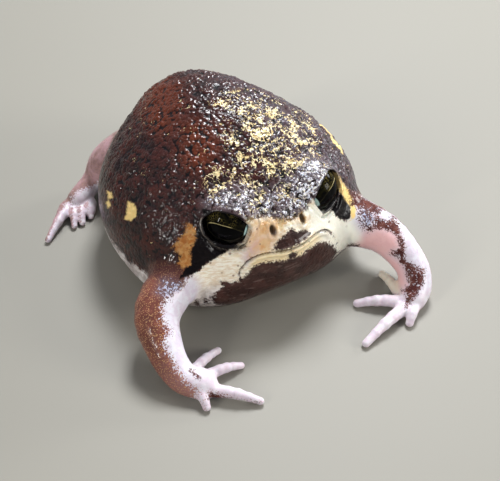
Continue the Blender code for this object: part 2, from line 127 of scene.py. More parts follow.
# The box round the mouth, with the distance from the frog's middle as its first side
MOUTH_ZONE = ((-1.0, -50.0, 8.0), (11.0, 0.0, 17.0))
LIP_HEIGHT = 0.28
LIP_BREADTH = 0.85
MOUTH_GROOVE_DEPTH = 0.5
MOUTH_GROOVE_WIDTH = 0.15
CORNER_GROOVE = 0.25
# Each lip's fine swell: its height, how far it lies above the mouth's line, and its width
LIP_SWELLS = ((0.14, 0.45, 0.34), (0.2, -0.5, 0.42))
NOSTRIL_PLACE = np.array((2.6, -5.9, 16.2))
NOSTRIL_RADII = (0.40, 1.1, 0.68)
NOSTRIL_LEAN = 14.0
NOSTRIL_RIM = 0.13
NOSTRIL_RIM_REACH = 1.7
NOSTRIL_RIM_WIDTH = 0.7
NOSTRIL_EDGE = 0.15
NOSTRIL_ZONE = 3.0

# Limbs: joint places with the flesh's radius at each
ARMS = {
    "right": (
        ((-12.5, 2.0, 9.0), 3.9),
        ((-21.0, -3.4, 6.9), 3.4),
        ((-22.8, -8.7, 4.5), 2.6),
        ((-22.3, -12.8, 2.0), 2.15),
        ((-20.1, -15.2, 1.3), 2.2),
    ),
    "left": (
        ((12.5, -0.2, 8.9), 4.6),
        ((17.6, -7.0, 7.8), 3.2),
        ((19.4, -12.7, 4.8), 2.5),
        ((18.8, -15.2, 2.2), 2.5),
        ((17.2, -17.0, 1.4), 1.85),
    ),
}
LEG = (
    ((8.1, 31.5, 8.3), 5.8),
    ((12.2, 34.6, 5.8), 4.25),
    ((16.0, 35.1, 3.4), 2.0),
    ((20.1, 33.2, 1.9), 1.8),
)
# Digits: root and tip on the floor plan, with the radius at each
FINGERS = {
    "right": (
        ((-19.6, -12.1), (-14.8, -10.2), 0.84, 0.57),
        ((-17.9, -14.1), (-13.2, -14.5), 0.88, 0.56),
        ((-18.9, -17.2), (-14.0, -21.6), 1.03, 0.57),
        ((-20.9, -16.3), (-21.2, -18.7), 0.90, 0.61),
    ),
    "left": (
        ((16.1, -14.3), (16.9, -9.3), 0.87, 0.7),
        ((14.6, -15.9), (9.4, -12.7), 1.08, 0.70),
        ((14.4, -17.8), (5.6, -20.3), 1.10, 0.64),
        ((15.9, -18.7), (14.0, -20.3), 0.92, 0.64),
    ),
}
TOES = (
    ((19.1, 31.4), (19.6, 29.0), 0.80, 0.58),
    ((20.5, 31.3), (21.5, 28.1), 0.83, 0.55),
    ((21.7, 31.8), (23.1, 28.0), 0.87, 0.50),
    ((22.4, 32.6), (28.4, 26.8), 1.13, 0.54),
    ((21.9, 33.7), (24.6, 31.9), 0.86, 0.59),
)
DIGGING_PAD = ((18.4, 32.0, 0.9), (19.0, 30.2, 0.9), 1.15, 0.85)
DIGIT_ROOT_Z = 1.2
DIGIT_TIP_Z = 0.55
DIGIT_ARCH = 0.45
# How thick a digit is along its length: a waist, a knuckle, a waist and a round tip
DIGIT_PROFILE = ((0.0, 1.0), (0.28, 0.92), (0.5, 0.97), (0.74, 0.88), (1.0, 1.0))
LIMB_STEPS = 4
LIMB_PADDING = 0.12
LIMB_BLEND = 0.25
KNUCKLE_BLEND = 0.3
DIGIT_BLEND = 0.7
ROOT_BLEND = 2.2

FLOOR_LIFT = 0.02
FLOOR_ROUNDING = 0.5

# Markings as they lie in the photograph: closed outlines in its pixels. Among them the eye's rear corner
# is painted shade and the left arm's tip a painted highlight.
MARKINGS = {
    "cheek_band": (
        (246, 250), (242, 247.5), (228, 249.6), (217.8, 255.7), (205.5, 263.9), (199.4, 270),
        (193.3, 275.4), (187, 278.5), (185.6, 284.6), (181, 290.7), (174, 292.5), (170.8, 299.9),
        (180, 312), (190, 318), (205, 312), (216, 308), (215.7, 304), (209.6, 297.9), (216.7, 296.8),
        (217.8, 291.7), (223.9, 286.6), (220.8, 281.5), (232, 282.5), (240.2, 281.5), (238.2, 275),
        (241, 269), (247, 262), (253.4, 257.2), (256, 250), (250, 247),
    ),
    "throat_edge": (
        (212, 305), (240, 301), (262, 294), (285, 285), (305, 274), (322, 262), (333, 252), (340, 258),
        (325, 270), (300, 284), (270, 297), (240, 307), (212, 312),
    ),
    "lower_lip": (
        (239, 272), (242, 266), (247, 261), (254, 257), (262, 253.6), (275, 252), (288, 250), (298, 246),
        (305, 241), (310, 236), (316, 232), (322, 231), (330, 233), (338, 240), (334, 250), (326, 247),
        (319, 246), (314, 251), (307, 257), (299, 260), (290, 263), (280, 265), (265, 266), (256, 270),
        (250, 276), (243, 279),
    ),
    "left_cheek": (
        (305, 212), (311, 201), (316, 202), (321, 206), (327, 204), (331, 203), (335, 214), (344, 221),
        (351, 221), (358, 230), (360, 240), (350, 250), (340, 262), (333, 264), (331, 252), (337, 243),
        (331, 233), (322, 229), (314, 231), (309, 229), (312, 220),
    ),
    "front_of_right_eye": (
        (243, 223), (248, 225), (252, 231), (251, 238), (247, 245), (241, 249), (236, 247), (243, 240),
        (246, 231),
    ),
    "right_arm_band": (
        (170.8, 297), (166, 301.5), (163.7, 308), (163.7, 316.2), (165.2, 324.4), (171.8, 330),
        (165.7, 341.7), (167.2, 352), (174.9, 360.1), (179, 370.3), (185.1, 379.5), (195.3, 387.7),
        (200.4, 391.5), (203, 402), (205, 416), (215, 416), (212, 402), (208, 391), (214.7, 392.8),
        (228, 396.8), (242.2, 401.5), (257.6, 402.5), (270, 408), (275, 392), (250, 360), (230, 340),
        (200, 345), (190, 316), (180, 305),
    ),
    "snout_pale": (
        (241, 269), (246, 262), (253, 257), (262, 254), (274, 252), (288, 250), (298, 246), (307, 238.5),
        (315, 233), (322, 232), (330, 234), (336, 226), (331, 214), (322, 208), (314, 205), (308, 208),
        (302, 214), (292, 221), (280, 222), (266, 217), (256, 219), (247, 223), (250, 232), (247, 244),
        (240, 249), (234, 252), (236, 262),
    ),
    # Not a marking: a white painted highlight on the left arm's tip
    "left_arm_tip": (
        (381, 214), (384, 211), (388, 212), (391, 218), (387, 219.5), (383, 217),
    ),
    "snout_ochre": (
        (246, 225), (255, 219), (266, 218), (280, 222), (292, 221), (302, 212), (311, 205), (308, 211),
        (306, 221), (305, 229), (302, 229), (298, 227), (291, 227), (287, 232), (281, 238), (275, 244),
        (268, 250), (258, 253), (250, 256), (246, 250), (251, 240), (252, 232), (249, 227),
    ),
    "eye_tail_patch": (
        (186, 224), (192, 225), (196, 229), (196, 240), (191.5, 247), (191, 255), (192, 264), (184, 269),
        (179, 264), (180.5, 256), (173, 247), (178, 240), (184.5, 233),
    ),
    "left_stripe": (
        (332, 171), (336.5, 173), (340.5, 179), (345, 185.5), (350, 193), (354, 202), (356, 211),
        (354, 219), (350.5, 220), (350, 210), (346, 201), (341.5, 194), (337, 187), (335, 179),
    ),
    "lip_gold": (
        (262, 254), (275, 252.5), (288, 250.5), (298, 246.5), (306, 240.5), (314, 234), (320, 238),
        (312, 248), (303, 255), (293, 259), (284, 261), (270, 262), (257, 266), (251, 270), (253, 261),
    ),
    "flank_spot": (
        (128, 201), (133, 203), (136, 209), (136.5, 216), (131, 221), (125, 219), (127, 211),
    ),
    "small_spot": (
        (107, 191), (112, 193), (113, 198), (108, 199),
    ),
    "lower_small_spot": (
        (106, 202), (109, 201), (111, 206), (108, 208),
    ),
    "eye_band": (
        (200, 218), (203, 226), (207, 235), (213, 242), (221, 246.5), (230, 248.5), (221, 255),
        (206, 262), (198.5, 271), (187, 276), (179, 279), (184, 270), (191, 265), (191.5, 256),
        (192, 247), (197, 240), (196.5, 230),
    ),
    "throat": (
        (220.8, 281.5), (232, 283), (240.2, 281.5), (245, 277), (249, 271.5), (253.5, 266), (262, 262.5),
        (275, 261), (286, 260), (291, 257), (296, 256.5), (301, 255), (307, 250), (314, 245), (320, 242),
        (327, 242), (333, 245), (338, 252), (328, 267), (310, 280), (289, 292), (265, 301), (243, 307),
        (226, 307), (216, 303), (217, 296.5), (210.5, 297.5), (217.8, 291.7), (223.9, 286.6),
    ),
    "upper_lip_patch": (
        (272.5, 250), (275.5, 244), (278.2, 240.7), (283.6, 235.9), (287.7, 231.8), (289.1, 229.1),
        (291.8, 227.7), (295.9, 230.5), (300, 231.8), (302.7, 229.1), (309.5, 231.5), (311, 234.5),
        (306.8, 238.6), (302.7, 240.7), (300, 244), (295.9, 245.8), (289.1, 248.6), (280.9, 250.6),
    ),
    "lower_lip_blot": (
        (287, 261), (289, 254.5), (293, 251.5), (297, 253), (297, 259),
    ),
    "left_eye_patch": (
        (338, 195), (341, 194), (346, 201), (350, 208), (350.5, 218), (347, 220), (340, 219), (334, 214),
        (330, 207), (334, 203),
    ),
    # Not a marking: near-black painted shade in the fold at the right eye's rear corner
    "eye_rear_corner_shade": (
        (202.3, 208.6), (207, 209.2), (214, 210.6), (223, 212), (217, 215), (211, 218), (207, 223),
        (204.2, 217),
    ),
    "cheek_dot": (
        (195, 300), (199, 300), (200, 306), (196, 308), (193, 304),
    ),
    "cheek_dash": (
        (204, 299), (209, 300), (209, 303), (204, 304),
    ),
    "armpit_dots": (
        (347, 246), (352, 244), (359, 245), (360, 248), (352, 249), (347, 250),
    ),
    "hand_dots": (
        (190, 368), (194, 371), (199, 375), (202, 379), (199, 380), (193, 375), (189, 371),
    ),
    "finger_edge": (
        (207.6, 392), (214.7, 393.5), (228, 397.5), (242.2, 402.5), (257.6, 403.5), (258, 408),
        (240, 408), (222, 402), (208, 399),
    ),
    "left_arm_marbling": (
        (375.8, 215.5), (382, 219.5), (388, 220), (393, 216.6), (398.3, 223.7), (400.3, 230.8),
        (405.4, 247.1), (404.4, 255.3), (406.4, 261.4), (414.6, 265.5), (424.8, 268.6), (423.8, 281.8),
        (421.7, 288), (412.6, 301.2), (406.4, 309.4), (404.4, 304.3), (406.4, 294.1), (402.3, 291),
        (408.5, 283.9), (406.4, 274.7), (404.4, 265.5), (400.3, 263.5), (398.3, 256.3), (389.1, 254.3),
        (392.1, 251.2), (400.3, 248.2), (396.2, 235.9), (390.1, 230.8), (378.9, 227.8), (368.7, 230.8),
        (365.6, 227.8), (375.8, 223.7),
    ),
    "left_shoulder_top": (
        (348, 190), (362, 195), (375, 201), (386, 205), (396, 212), (402, 221), (392, 217.6), (389, 212),
        (383, 210.5), (378, 215), (368, 210), (357, 207), (351, 206),
    ),
    "left_shoulder_blue": (
        (358, 207), (366, 207), (374, 209), (377, 218), (375, 225), (369, 231), (363, 228), (358, 219),
    ),
    "right_shoulder_blue": (
        (160, 279), (171, 277), (181, 282), (183, 289), (176, 293), (170, 299), (163, 299), (154, 293),
    ),
    "inner_left_arm": (
        (366, 234), (378, 229), (390, 232), (397, 238), (399, 247), (388, 255), (399, 263), (404, 275),
        (406, 284), (400, 290), (392, 275), (384, 262), (372, 251), (358, 250), (345, 256), (350, 245),
    ),
    "left_thumb": (
        (377, 265), (386, 263), (396, 269), (401, 283), (398, 292), (387, 291), (380, 285), (375, 274),
    ),
    "nose_flush": (
        (249, 238), (254, 228), (262, 222), (272, 223), (278, 233), (273, 245), (262, 253), (252, 248),
    ),
    "lip_flush": (
        (246, 250), (252, 243), (256, 240), (262, 241), (263, 248), (256, 255), (247, 262), (243, 258),
    ),
    "cream_flecks": (
        (208, 92), (226, 88), (262, 96), (281, 101), (300, 112), (320, 124), (326, 140), (322, 158),
        (316, 174), (314, 192), (304, 210), (290, 220), (262, 218), (246, 216), (228, 207), (206, 204),
        (196, 188), (205, 166), (222, 158), (232, 146), (224, 128), (214, 110),
    ),
    # The brow's silver: pale tubercles with painted glints on them
    "brow_silver_and_glint": (
        (202, 200), (214, 192), (228, 186), (244, 184), (262, 190), (282, 184), (294, 172), (306, 158),
        (320, 156), (333, 166), (328, 184), (324, 197), (314, 206), (303, 215), (298, 223), (286, 225),
        (270, 221), (256, 223), (247, 226), (240, 219), (228, 213), (214, 211), (203, 211),
    ),
    "left_brow": (
        (298, 168), (308, 158), (322, 157), (328, 165), (323, 180), (317, 196), (306, 202), (297, 192),
        (294, 178),
    ),
    "rear_rust": (
        (150, 84), (166, 78), (178, 84), (180, 100), (176, 118), (164, 130), (152, 126), (144, 112),
        (143, 97),
    ),
    "mid_rust": (
        (184, 128), (196, 124), (210, 130), (216, 146), (212, 162), (200, 168), (188, 166), (183, 150),
    ),
}
ONE_SIDED = (
    "eye_rear_corner_shade", "left_brow", "left_thumb", "left_cheek", "left_arm_tip", "left_stripe",
    "left_eye_patch", "armpit_dots", "left_arm_marbling", "left_shoulder_top", "left_shoulder_blue",
    "inner_left_arm", "right_arm_band", "hand_dots", "finger_edge", "right_shoulder_blue",
)
# Which markings make up each kind of colouring
MARK_KINDS = {
    "pale": (
        "snout_pale", "cheek_band", "throat_edge", "lower_lip", "left_cheek", "front_of_right_eye",
    ),
    # The limbs' pale skin, with a painted highlight on the left arm's tip
    "limb_pale": ("right_arm_band", "left_arm_tip"),
    "ochre": ("snout_ochre",),
    "patch": ("eye_tail_patch",),
    "yellow": ("left_stripe", "flank_spot", "small_spot", "lower_small_spot"),
    "dark": (
        "throat", "upper_lip_patch", "lower_lip_blot", "cheek_dot", "cheek_dash", "armpit_dots",
    ),
    # The eye's rear corner here is painted shade; the band and patch are the skin's black markings
    "black": ("eye_band", "left_eye_patch", "eye_rear_corner_shade"),
    "marbling": ("left_arm_marbling", "left_shoulder_top", "hand_dots", "finger_edge"),
    "rust": ("rear_rust", "mid_rust"),
    "blue": ("left_shoulder_blue", "right_shoulder_blue"),
}
# Tints that fade in over a marking's edge: the marking, and the depths where each one
# starts and is full
TINTS = {
    "fleck": ("cream_flecks", -2.2, 2.2),
    # The brow's pale tubercles, partly painted glints
    "silver": ("brow_silver_and_glint", -1.6, 1.6),
    "left_brow": ("left_brow", -1.5, 1.5),
    "nose_flush": ("nose_flush", -1.4, 0.8),
    "inner_arm": ("inner_left_arm", -1.5, 1.0),
    "lip_gold": ("lip_gold", -0.8, 0.5),
    "thumb": ("left_thumb", -1.0, 0.5),
    "lilac": ("lip_flush", -1.0, 1.0),
    # The left cheek's share of near-white painted light
    "left_cheek": ("left_cheek", -1.0, 1.0),
}
RUST_FADE = (-2.5, 1.5)
BLUE_FADE = (-1.0, 0.8)
LEFT_BROW_SILVER_AND_GLINT = 0.35
HAND_BLUSH = 0.2
LEFT_SIDE_X = (-2.0, 9.0)
# How strongly the left side's pale skin is whitened as painted light
LEFT_SIDE_PAINTED_LIGHT = 0.75
LOW_Z = (9.5, 6.5)
# Spots that the photograph shows only edge on: their middles and half sizes in millimetres
FAR_FLANK_SPOTS = (
    ((17.2, 9.8, 18.4), (1.7, 1.9, 1.5)),
    ((16.6, 5.7, 17.9), (1.5, 2.0, 1.3)),
)
FAR_OUTSIDE = 4.0
FACING_FADE = 0.25
BELLY_EDGE_Z = 7.3
BELLY_FRONT_DROP = 6.0
BELLY_FRONT_Y = (4.0, -4.0)
BELLY_WAVE = 1.3
BELLY_WAVE_SPACING = 5.0
BELLY_RIPPLE_SPACING = 1.7
HAND_REACH = 2.2
HAND_FADE = 0.5
DIGIT_INSET = 0.3
WRIST_REACH = 9.0
SHOULDER_REACH = 5.0
LIMB_START = (-0.8, 1.6)
LIMB_MARGIN = 1.5

# The limbs' pale inner side: which way it faces, where it starts and how fast it grows
INNER_SIDE = np.array((-0.55, -0.45, -0.45))
INNER_START = 0.25
INNER_PALE = 2.4
HAND_PALE = 3.0
SOLE_PALE = 2.6
SOLE_FACING = (0.25, -0.7)
LEG_DARK = 0.4
SEEN_ARM_DARK = 1.2
SEEN_LEFT_ARM_PALE = 3.0
SEEN_HAND_PALE = 3.5
SEEN_ARM_START = 2.0
ON_LIMB = 0.3

# Painted shade on the inner wall of the lids, and the light line along each eye's lower lid
LID_LINE = {-1: 1.0, 1: 0.25}
LID_LINE_OFFSET = 0.25
LID_LINE_WIDTH = 0.075
LID_LINE_TOP = (0.9, 0.3)
LID_LINE_BOTTOM = (-1.6, -0.4)
LID_LINE_LEAST = 0.35
LID_LINE_FRONT_LOSS = 0.8
LID_SHADE = (-0.28, -0.02)
LID_SHADE_FRONT_LOSS = 0.6
LID_FRONT = (1.8, 2.8)
LID_BAND = 1.4
LID_BAND_FADE = 0.15
MOUTH_LINE_WIDTH = 0.14
MOUTH_LINE_OVERRUN = 0.3
MOUTH_LINE_FADE = 0.15
NOSTRIL_SHADE = (0.5, 1.2, 0.8)
NOSTRIL_SHADE_FADE = 0.12

# Relief of the skin: granules everywhere, and warts and lumps on the back
GRAIN_HEIGHT = 0.21
GRAIN_SPACING = 0.62
GRAIN_MIDDLE = 0.45
WART_HEIGHT = 0.26
WART_SPACING = 1.75
WART_SHARE = 0.55
WART_WARP = 0.35
WART_GRAIN = 0.6
LUMP_HEIGHT = 0.1
LUMP_SPACING = 4.2
SMALL_LUMP_SPACING = 2.1
UPWARD = (0.0, 0.8)
FACE_Y = (-1.0, -5.0)
FACE_Z = (17.5, 15.0)
BACK_Z = (9.0, 16.0)
FINE_LEAST = 0.3
FINE_UPWARD = 0.1
LIMB_SMOOTHNESS = 0.2
HAND_SMOOTHNESS = 0.9
FACE_SMOOTHNESS = 0.45
LID_SMOOTH_BAND = 1.2
LID_SMOOTH_FADE = 0.2
LID_SMOOTH_FROM = (-0.55, -0.2)
MOUTH_SMOOTHNESS = 0.8
MOUTH_SMOOTH_WIDTH = 0.8
DOME_RADIUS = 0.55
DOME_RADIUS_RANGE = 0.4
DOME_HEIGHT = 0.6
DOME_HEIGHT_RANGE = 0.4
SEEDS = {"lump": 11, "small_lump": 12, "wart": 21, "grain": 31, "belly_wave": 41, "belly_ripple": 42}

# Fineness of the skin
PITCH = 0.25
SKIN_LOW = np.array((-31.0, -24.0, -1.0))
SKIN_HIGH = np.array((31.0, 41.0, 29.0))
SKIN_SPLITS = 1
BLOCK = 4
NEAR_SURFACE = 2.0
SLOPE_STEP = 0.01
LEAST_SLOPE = 0.25
SNAPS = 2
LONGEST_SNAP = 0.3
EYE_DIVISIONS = 6

# Numbers that scramble a cell's place into a random share
SEED_STEP = 374761393
SEED_START = 668265263
CELL_PRIMES = (2654435761, 2246822519, 3266489917)
LOW_32_BITS = 0xFFFFFFFF
LOW_24_BITS = 0xFFFFFF


def soft_min(a, b, blend):
    """The smaller of two distances, rounded over where they are alike."""
    share = np.clip(0.5 + 0.5 * (b - a) / blend, 0.0, 1.0)
    return b + (a - b) * share - blend * share * (1.0 - share)


def soft_max(a, b, blend):
    return -soft_min(-a, -b, blend)


def smooth_step(low, high, value):
    """Rises smoothly from 0 at low to 1 at high."""
    share = np.clip((value - low) / (high - low), 0.0, 1.0)
    return share * share * (3.0 - 2.0 * share)


def fade(value, width):
    """One below nought, falling softly to nothing above it."""
    return 1.0 / (1.0 + np.exp(np.clip(value / width, -30.0, 30.0)))


def hump(value, width):
    return np.exp(-((value / width) ** 2))


def unit(vector):
    vector = np.asarray(vector, dtype=float)
    return vector / np.linalg.norm(vector)


def mouth_height(x):
    """Height of the mouth line at a distance x from the middle."""
    x = np.clip(x, -MOUTH_HALF_WIDTH, MOUTH_HALF_WIDTH)
    return MOUTH_MIDDLE_Z + MOUTH_RISE * x**2 - MOUTH_DROP * x**4


def body_distance(points):
    """How far points lie outside the head and trunk, along rays from their centre."""
    offset = points - BODY_CENTRE
    offset[:, 0] = np.abs(offset[:, 0])
    reach = np.linalg.norm(offset, axis=1) + 1e-9
    way = offset / reach[:, None]
    ahead = 0.5 - 0.5 * way[:, 1]
    upward = 0.5 + 0.5 * way[:, 2]
    power = BODY_SQUARENESS
    length = BODY_REAR + (BODY_FRONT - BODY_REAR) * ahead
    height = BODY_BOTTOM + (BODY_TOP - BODY_BOTTOM) * upward
    total = (way[:, 0] / BODY_SIDE) ** power
    total += (np.abs(way[:, 1]) / length) ** power
    total += (np.abs(way[:, 2]) / height) ** power
    radius = total ** (-1.0 / power)
    for place, narrowness, rise in SWELLS.values():
        aim = unit(np.array(place) - BODY_CENTRE)
        swell = np.exp(narrowness * (way @ aim - 1.0))
        if place[0] > 0.0:
            swell += np.exp(narrowness * (way @ (aim * (-1.0, 1.0, 1.0)) - 1.0))
        radius += rise * swell
    x, y, z = points.T
    window = fade(np.abs(x) - MOUTH_HALF_WIDTH, MOUTH_FADE) * fade(y - MOUTH_BACK_Y, MOUTH_FADE)
    radius += LIP_HEIGHT * hump(z - mouth_height(x), LIP_BREADTH) * window
    return reach - radius


def cone_distance(points, start, end, start_radius, end_radius):
    """Distance to a round-ended cone between two places."""
    start = np.array(start, dtype=float)
    along = np.array(end, dtype=float) - start
    share = np.clip((points - start) @ along / (along @ along), 0.0, 1.0)
    nearest = start + share[:, None] * along
    radius = start_radius + share * (end_radius - start_radius)
    return np.linalg.norm(points - nearest, axis=1) - radius


def chain_distance(points, chain, blend):
    """Distance to a limb made of round cones from joint to joint."""
    distance = None
    for (start, start_radius), (end, end_radius) in zip(chain, chain[1:]):
        link = cone_distance(points, start, end, start_radius, end_radius)
        distance = link if distance is None else soft_min(distance, link, blend)
    return distance


def digit_line(root, tip, root_radius, tip_radius):
    """The joints of a finger or toe, arched between its root and tip."""
    start = np.array([*root, DIGIT_ROOT_Z])
    end = np.array([*tip, DIGIT_TIP_Z])
    line = []
    for share, fullness in DIGIT_PROFILE:
        arch = 4.0 * share * (1.0 - share) * DIGIT_ARCH
        place = start + share * (end - start) + (0.0, 0.0, arch)
        radius = fullness * (root_radius + share * (tip_radius - root_radius))
        line.append((place, radius))
    return line


def mirrored_chain(chain, side):
    return [((side * x, y, z), radius) for (x, y, z), radius in chain]


def curve_point(before, start, end, after, share):
    """A place on the smooth curve that runs from start to end."""
    return 0.5 * (
        2.0 * start + (end - before) * share
        + (2.0 * before - 5.0 * start + 4.0 * end - after) * share**2
        + (3.0 * start - before - 3.0 * end + after) * share**3
    )


def smooth_limb(chain):
    """Adds joints between a limb's own, so that it bends and thins without corners."""
    joints = [np.array([*place, radius + LIMB_PADDING]) for place, radius in chain]
    joints = [2.0 * joints[0] - joints[1], *joints, 2.0 * joints[-1] - joints[-2]]
    line = []
    for before, start, end, after in zip(joints, joints[1:], joints[2:], joints[3:]):
        for step in range(LIMB_STEPS):
            line.append(curve_point(before, start, end, after, step / LIMB_STEPS))
    line.append(joints[-2])
    return [(joint[:3], joint[3]) for joint in line]


def limb_parts():
    """Every limb's chain of joints with the lines of its digits."""
    limbs = {}
    for name, side in (("right", -1), ("left", 1)):
        fingers = [digit_line(*finger) for finger in FINGERS[name]]
        limbs["arm_" + name] = (smooth_limb(ARMS[name]), fingers)
        digits = []
        for root, tip, root_radius, tip_radius in TOES:
            near = (side * root[0], root[1])
            far = (side * tip[0], tip[1])
            digits.append(digit_line(near, far, root_radius, tip_radius))
        start, end, start_radius, end_radius = DIGGING_PAD
        digits.append(mirrored_chain(((start, start_radius), (end, end_radius)), side))
        limbs["leg_" + name] = (smooth_limb(mirrored_chain(LEG, side)), digits)
    return limbs


LIMBS = limb_parts()


def near_chain(points, chain, margin):
    """Which points lie in a chain's box, grown by its radii and a margin."""
    places = np.array([place for place, _ in chain])
    grow = margin + max(radius for _, radius in chain)
    low, high = places.min(axis=0) - grow, places.max(axis=0) + grow
    return np.all((points > low) & (points < high), axis=1)


def limb_distance(points, chain, digits):
    distance = chain_distance(points, chain, LIMB_BLEND)
    for digit in digits:
        near = near_chain(points, digit, LIMB_MARGIN)
        finger = chain_distance(points[near], digit, KNUCKLE_BLEND)
        distance[near] = soft_min(distance[near], finger, DIGIT_BLEND)
    return distance


def eye_axes(side):
    """An eye's centre and its own directions: outward, towards the snout, and up."""
    centre = EYE_CENTRES[side]
    outward = unit(EYE_LOOKS[side])
    to_snout = SNOUT_TIP - centre
    forward = unit(to_snout - (to_snout @ outward) * outward)
    upward = -side * np.cross(outward, forward)
    return centre, outward, forward, upward


def closed_curve(corners, steps):
    """A smooth closed line through a few corners."""
    corners = np.array(corners)
    line = []
    for index in range(len(corners)):
        p0, p1, p2, p3 = (corners[(index + k) % len(corners)] for k in (-1, 0, 1, 2))
        for step in range(steps):
            line.append(curve_point(p0, p1, p2, p3, step / steps))
    return np.array(line)


def squared_gap(points, start, end):
    """The square of how far flat points lie off a straight line between two places."""
    along = end - start
    offset = points - start
    share = np.clip(offset @ along / (along @ along), 0.0, 1.0)
    return ((offset - share[:, None] * along) ** 2).sum(axis=1)


def depth_in_outline(points, outline):
    """How far flat points lie inside a closed outline, negative outside it."""
    nearest = np.full(len(points), np.inf)
    crossings = np.zeros(len(points), dtype=bool)
    for start, end in zip(outline, np.roll(outline, -1, axis=0)):
        along = end - start
        nearest = np.minimum(nearest, squared_gap(points, start, end))
        spans = (start[1] > points[:, 1]) != (end[1] > points[:, 1])
        if along[1] != 0.0:
            reach = start[0] + (points[:, 1] - start[1]) * along[0] / along[1]
            crossings ^= spans & (points[:, 0] < reach)
    return np.where(crossings, 1.0, -1.0) * np.sqrt(nearest)


LID_OUTLINE = closed_curve(LID_MARGIN, LID_MARGIN_STEPS)


def lid_opening(points, side):
    """How far points lie off an eyeball and inside the lids' margin, and where on it."""
    centre, outward, forward, upward = eye_axes(side)
    offset = points - centre
    reach = np.linalg.norm(offset, axis=1) + 1e-9
    slack = LID_SPREAD * smooth_step(*LID_SPREAD_FORWARD, offset @ forward)
    spread = np.minimum(reach, EYE_RADIUS + slack) / EYE_RADIUS
    flat = np.stack([offset @ forward, offset @ upward], axis=1) / spread[:, None]
    inside = depth_in_outline(flat, LID_OUTLINE) * spread
    inside = np.where(offset @ outward > 0.0, inside, -reach)
    return reach - EYE_RADIUS, inside, flat


def cut_eye_opening(distance, points, side):
    """Dishes the skin round one eye, opens its lids and hollows its socket."""
    near = np.linalg.norm(points - EYE_CENTRES[side], axis=1) < LID_REACH
    over_eye, inside, flat = lid_opening(points[near], side)
    fold = hump(inside + LID_FOLD_OFFSET, LID_FOLD_WIDTH)
    fold *= fade(np.abs(over_eye - LID_FOLD_MIDDLE) - LID_FOLD_BAND, LID_FOLD_FADE)
    dish = np.minimum(inside + LID_WIDTH, over_eye - LID_THICKNESS - DISH_DEPTH)
    dish -= DISH_FADE * smooth_step(*DISH_FADE_HEIGHTS, flat[:, 1])
    lids = soft_max(distance[near], dish, DISH_BLEND) + LID_FOLD_DEPTH * fold
    socket = np.maximum(over_eye - LID_CLEARANCE, -inside - LID_OVERHANG)
    hollow = np.minimum(socket, -inside)
    distance[near] = soft_max(lids, -hollow, LID_EDGE)


def mouth_line():
    """Half of the line of the mouth from the middle to its corner, seen from the front."""
    across = np.linspace(0.0, MOUTH_HALF_WIDTH, MOUTH_STEPS)
    return np.stack([across, mouth_height(across)], axis=1)


MOUTH_LINE = mouth_line()


def mouth_offset(points):
    """How far above the line of the mouth points lie, and how far off its corner."""
    flat = np.stack([np.abs(points[:, 0]), points[:, 2]], axis=1)
    nearest = np.full(len(points), np.inf)
    for start, end in zip(MOUTH_LINE, MOUTH_LINE[1:]):
        nearest = np.minimum(nearest, squared_gap(flat, start, end))
    rise = np.sqrt(nearest)
    return np.where(flat[:, 1] > mouth_height(flat[:, 0]), rise, -rise)


def to_left_side(points):
    """Points of both sides brought to the frog's left one."""
    return np.stack([np.abs(points[:, 0]), points[:, 1], points[:, 2]], axis=1)


def cut_mouth(distance, points):
    """Sinks the line of the mouth between the lips."""
    low, high = MOUTH_ZONE
    near = np.all((to_left_side(points) > low) & (to_left_side(points) < high), axis=1)
    x, y, z = points[near].T
    rise = mouth_offset(points[near])
    in_front = fade(y - MOUTH_BACK_Y, MOUTH_FADE)
    corner = fade(np.abs(x) - MOUTH_HALF_WIDTH + MOUTH_CORNER_INSET, MOUTH_CORNER_FADE)
    depth = MOUTH_GROOVE_DEPTH * (CORNER_GROOVE + (1.0 - CORNER_GROOVE) * corner)
    lips = sum(height * hump(rise - offset, width) for height, offset, width in LIP_SWELLS)
    distance[near] += in_front * (depth * hump(rise, MOUTH_GROOVE_WIDTH) - lips * corner)


def cut_nostril(distance, points, side):
    """A slanting pit with a low rim round it."""
    offset = points - NOSTRIL_PLACE * (side, 1.0, 1.0)
    near = np.abs(offset).max(axis=1) < NOSTRIL_ZONE
    lean = math.radians(-side * NOSTRIL_LEAN)
    x, y, z = offset[near].T
    across = (x * math.cos(lean) - z * math.sin(lean)) / NOSTRIL_RADII[0]
    above = (x * math.sin(lean) + z * math.cos(lean)) / NOSTRIL_RADII[2]
    ring = np.sqrt(across**2 + above**2)
    reach = np.sqrt(across**2 + (y / NOSTRIL_RADII[1]) ** 2 + above**2)
    raised = distance[near] - NOSTRIL_RIM * hump(ring - NOSTRIL_RIM_REACH, NOSTRIL_RIM_WIDTH)
    pit = (reach - 1.0) * NOSTRIL_RADII[0]
    distance[near] = soft_max(raised, -pit, NOSTRIL_EDGE)


def frog_distance(points):
    """How far points lie outside the frog's skin, without its warts."""
    distance = body_distance(points)
    for centre in EYE_CENTRES.values():
        lids = np.linalg.norm(points - centre, axis=1) - (EYE_RADIUS + LID_THICKNESS)
        distance = soft_min(distance, lids, LID_BLEND)
    for chain, digits in LIMBS.values():
        joints = list(chain) + [joint for digit in digits for joint in digit]
        near = near_chain(points, joints, ROOT_BLEND)
        limb = limb_distance(points[near], chain, digits)
        distance[near] = soft_min(distance[near], limb, ROOT_BLEND)
    cut_mouth(distance, points)
    for side in EYE_CENTRES:
        cut_eye_opening(distance, points, side)
        cut_nostril(distance, points, side)
    return soft_max(distance, FLOOR_LIFT - points[:, 2], FLOOR_ROUNDING)


def slope(points, distance_of):
    """The direction in which a distance grows, at each point."""
    gradient = np.zeros_like(points)
    for corner in ((1, -1, -1), (-1, 1, -1), (-1, -1, 1), (1, 1, 1)):
        shift = SLOPE_STEP * np.array(corner)
        gradient += distance_of(points + shift)[:, None] * shift
    return gradient / (4.0 * SLOPE_STEP**2)


